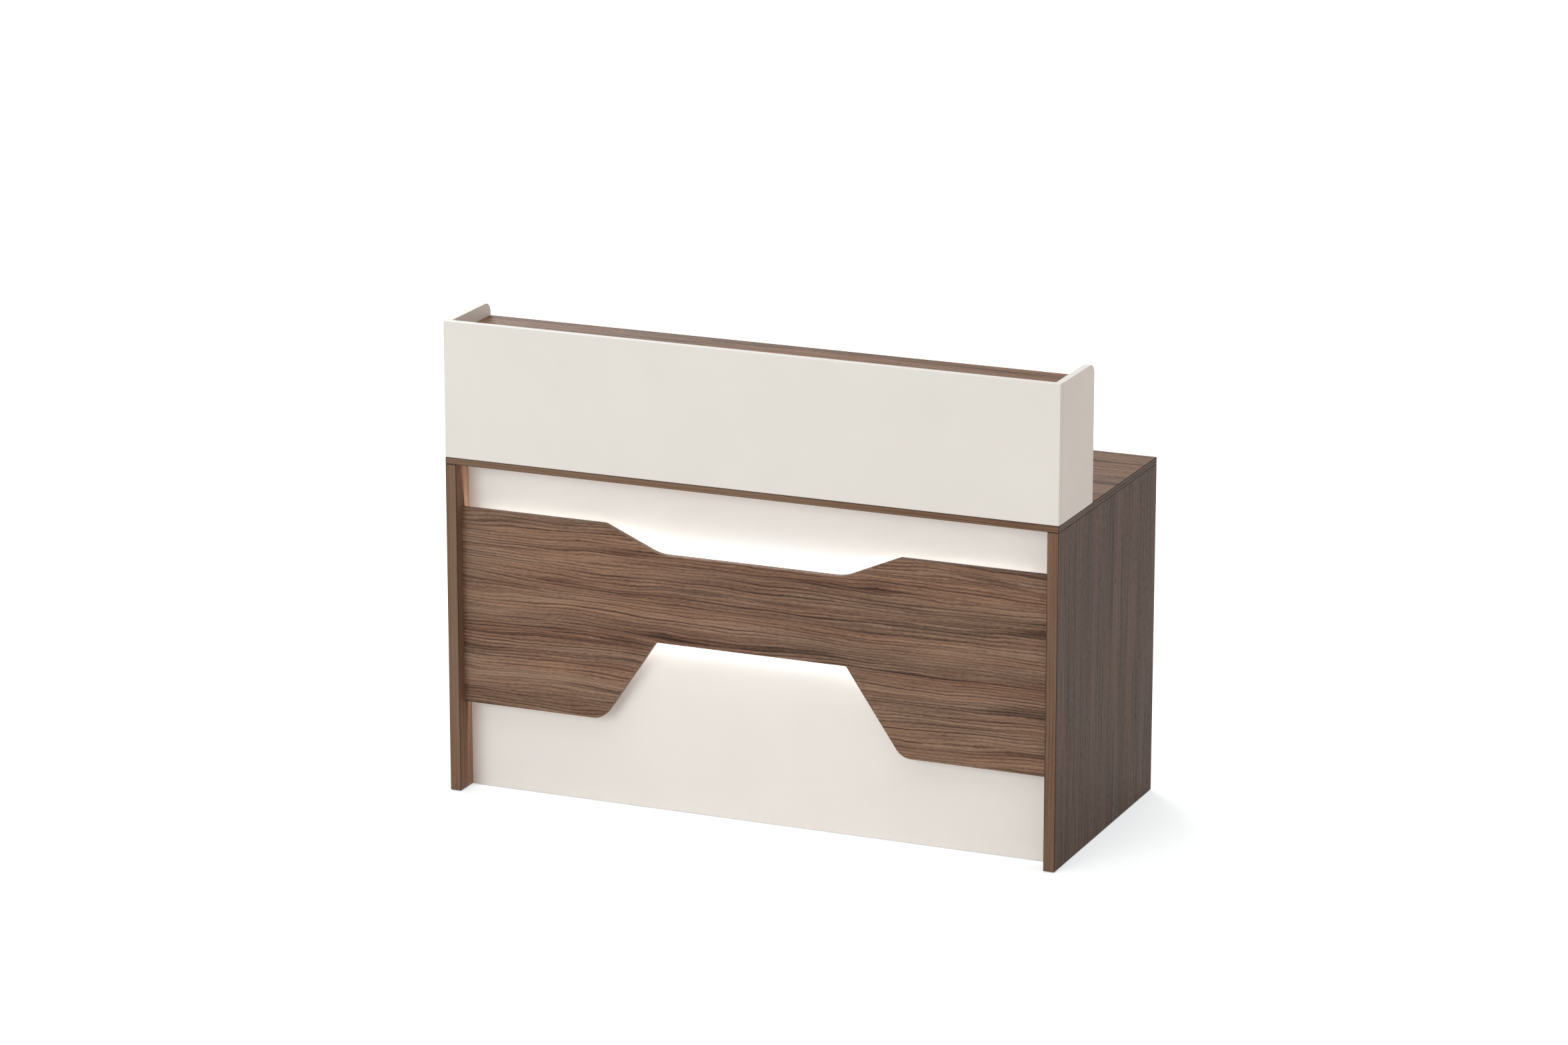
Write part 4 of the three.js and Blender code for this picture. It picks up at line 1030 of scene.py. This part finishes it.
# %% Switch rocker
ROCKER_HALF, ROCKER_WIDTH = 0.010, 0.0128  # half its height, and its width
FACE_DEPTH, DISH, DISH_CURVE = 0.005, 0.0016, 1.6
HEEL = -0.0046
TIPPED = 10  # degrees

rocker = bmesh.new()
side_view = []
for step in range(17):
    rise = ROCKER_HALF * (step - 8) / 8
    side_view.append((FACE_DEPTH - DISH * (1 - (abs(rise) / ROCKER_HALF) ** DISH_CURVE), rise))
side_view += [(0.0, ROCKER_HALF), (HEEL, 0.0), (0.0, -ROCKER_HALF)]
corners = [rocker.verts.new((-ROCKER_WIDTH / 2, depth, rise)) for depth, rise in side_view]
side_face = rocker.faces.new(corners)
grown = bmesh.ops.extrude_face_region(rocker, geom=[side_face])["geom"]
far_side = [item for item in grown if isinstance(item, bmesh.types.BMVert)]
bmesh.ops.translate(rocker, vec=(ROCKER_WIDTH, 0, 0), verts=far_side)
bmesh.ops.recalc_face_normals(rocker, faces=rocker.faces)
ease_rims(rocker, by=0.0005, over=40)
tipped = Matrix.Translation(pivot) @ Matrix.Rotation(math.radians(TIPPED), 4, "X")
put_away(rocker, "switch_rocker_moulded", rocker_black, ["switch_rocker"],
         body="switch_rocker", place=tipped)
print("switch: rocker", 1000 * ROCKER_WIDTH, "mm wide, tipped", TIPPED, "degrees")

# %% [markdown]
# Two thin leads run from the strips, through the front panel, to the driver. A lead is a round tube that
# follows straight runs with easy bends. A curve with a round bevel gives that exactly; it is turned into
# a mesh at the end. Where it enters the driver a short tapered sleeve takes the strain.

# %% Leads
LEAD_RADIUS, LEAD_BEND = 0.0015, 0.007


def lead(node, points):
    corners = [Vector(point) for point in points]
    route = bpy.data.curves.new(node, "CURVE")
    route.dimensions = "3D"
    route.bevel_depth = LEAD_RADIUS
    route.bevel_resolution = 5
    route.use_fill_caps = True
    spline = route.splines.new("BEZIER")
    stops = [(corners[0], corners[0], corners[0])]
    for back, here, ahead in zip(corners, corners[1:], corners[2:]):
        start = here + (back - here).normalized() * LEAD_BEND
        end = here + (ahead - here).normalized() * LEAD_BEND
        stops.append((start, start, start.lerp(here, 2 / 3)))
        stops.append((end, end.lerp(here, 2 / 3), end))
    stops.append((corners[-1], corners[-1], corners[-1]))
    spline.bezier_points.add(len(stops) - 1)
    for knot, (point, before, after) in zip(spline.bezier_points, stops):
        knot.handle_left_type = knot.handle_right_type = "FREE"
        knot.co, knot.handle_left, knot.handle_right = point, before, after
    drawn_route = show(bpy.data.objects.new(node, route))
    tube = bmesh.new()
    tube.from_mesh(drawn_route.evaluated_get(bpy.context.evaluated_depsgraph_get()).to_mesh())
    bpy.data.objects.remove(drawn_route)
    bmesh.ops.remove_doubles(tube, verts=tube.verts, dist=SAME_POINT)
    bmesh.ops.recalc_face_normals(tube, faces=tube.faces)
    put_away(tube, node + "_sheath", sheath_black, [node])


print("leads:", 2000 * LEAD_RADIUS, "mm thick")

# %% Lead routes and sleeves
STRIP_CLEAR = 0.0003  # from a strip's end to its lead
LEAD_REACH = 0.006  # into the driver
SLEEVE_PROFILE = [(0.00155, 0), (0.0030, 0), (0.0030, 0.0015), (0.0023, 0.009), (0.00155, 0.009)]
for tier, rise in (("upper", LEAD_RISE), ("lower", -LEAD_RISE)):
    first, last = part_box(tier + "_led_lead")
    strip_low, strip_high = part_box(tier + "_led_strip")
    run_y = (strip_low.y + strip_high.y) / 2
    run_z = last.z - LEAD_RADIUS if tier == "upper" else first.z + LEAD_RADIUS
    turn_x = last.x - LEAD_RADIUS
    entry_z = inlet_z + rise
    lead(tier + "_led_lead", [
        (strip_high.x + STRIP_CLEAR, run_y, run_z), (turn_x, run_y, run_z), (turn_x, lead_y, run_z),
        (turn_x, lead_y, entry_z), (high.x - LEAD_REACH, lead_y, entry_z)])
    sleeve = ease_rims(turned(SLEEVE_PROFILE, steps=32, ring=True), by=0.0002, over=30)
    put_away(sleeve, tier + "_lead_sleeve", sheath_black, [],
             place=facing((high.x, lead_y, entry_z), X, Y))
print("leads: turn through the panel at x", round(turn_x, 4))

# %% [markdown]
# Before the lesson ends, the box of the dressed desk is set beside the box of the solids. They should
# agree, because the dressing only eases edges inward.

# %% Sizes and finish
bpy.context.scene.view_settings.view_transform = "Standard"
look_low, look_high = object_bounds()
for name, size in (("solids", cad_high - cad_low), ("dressed", look_high - look_low)):
    print("box:", name, [round(v, 4) for v in size])
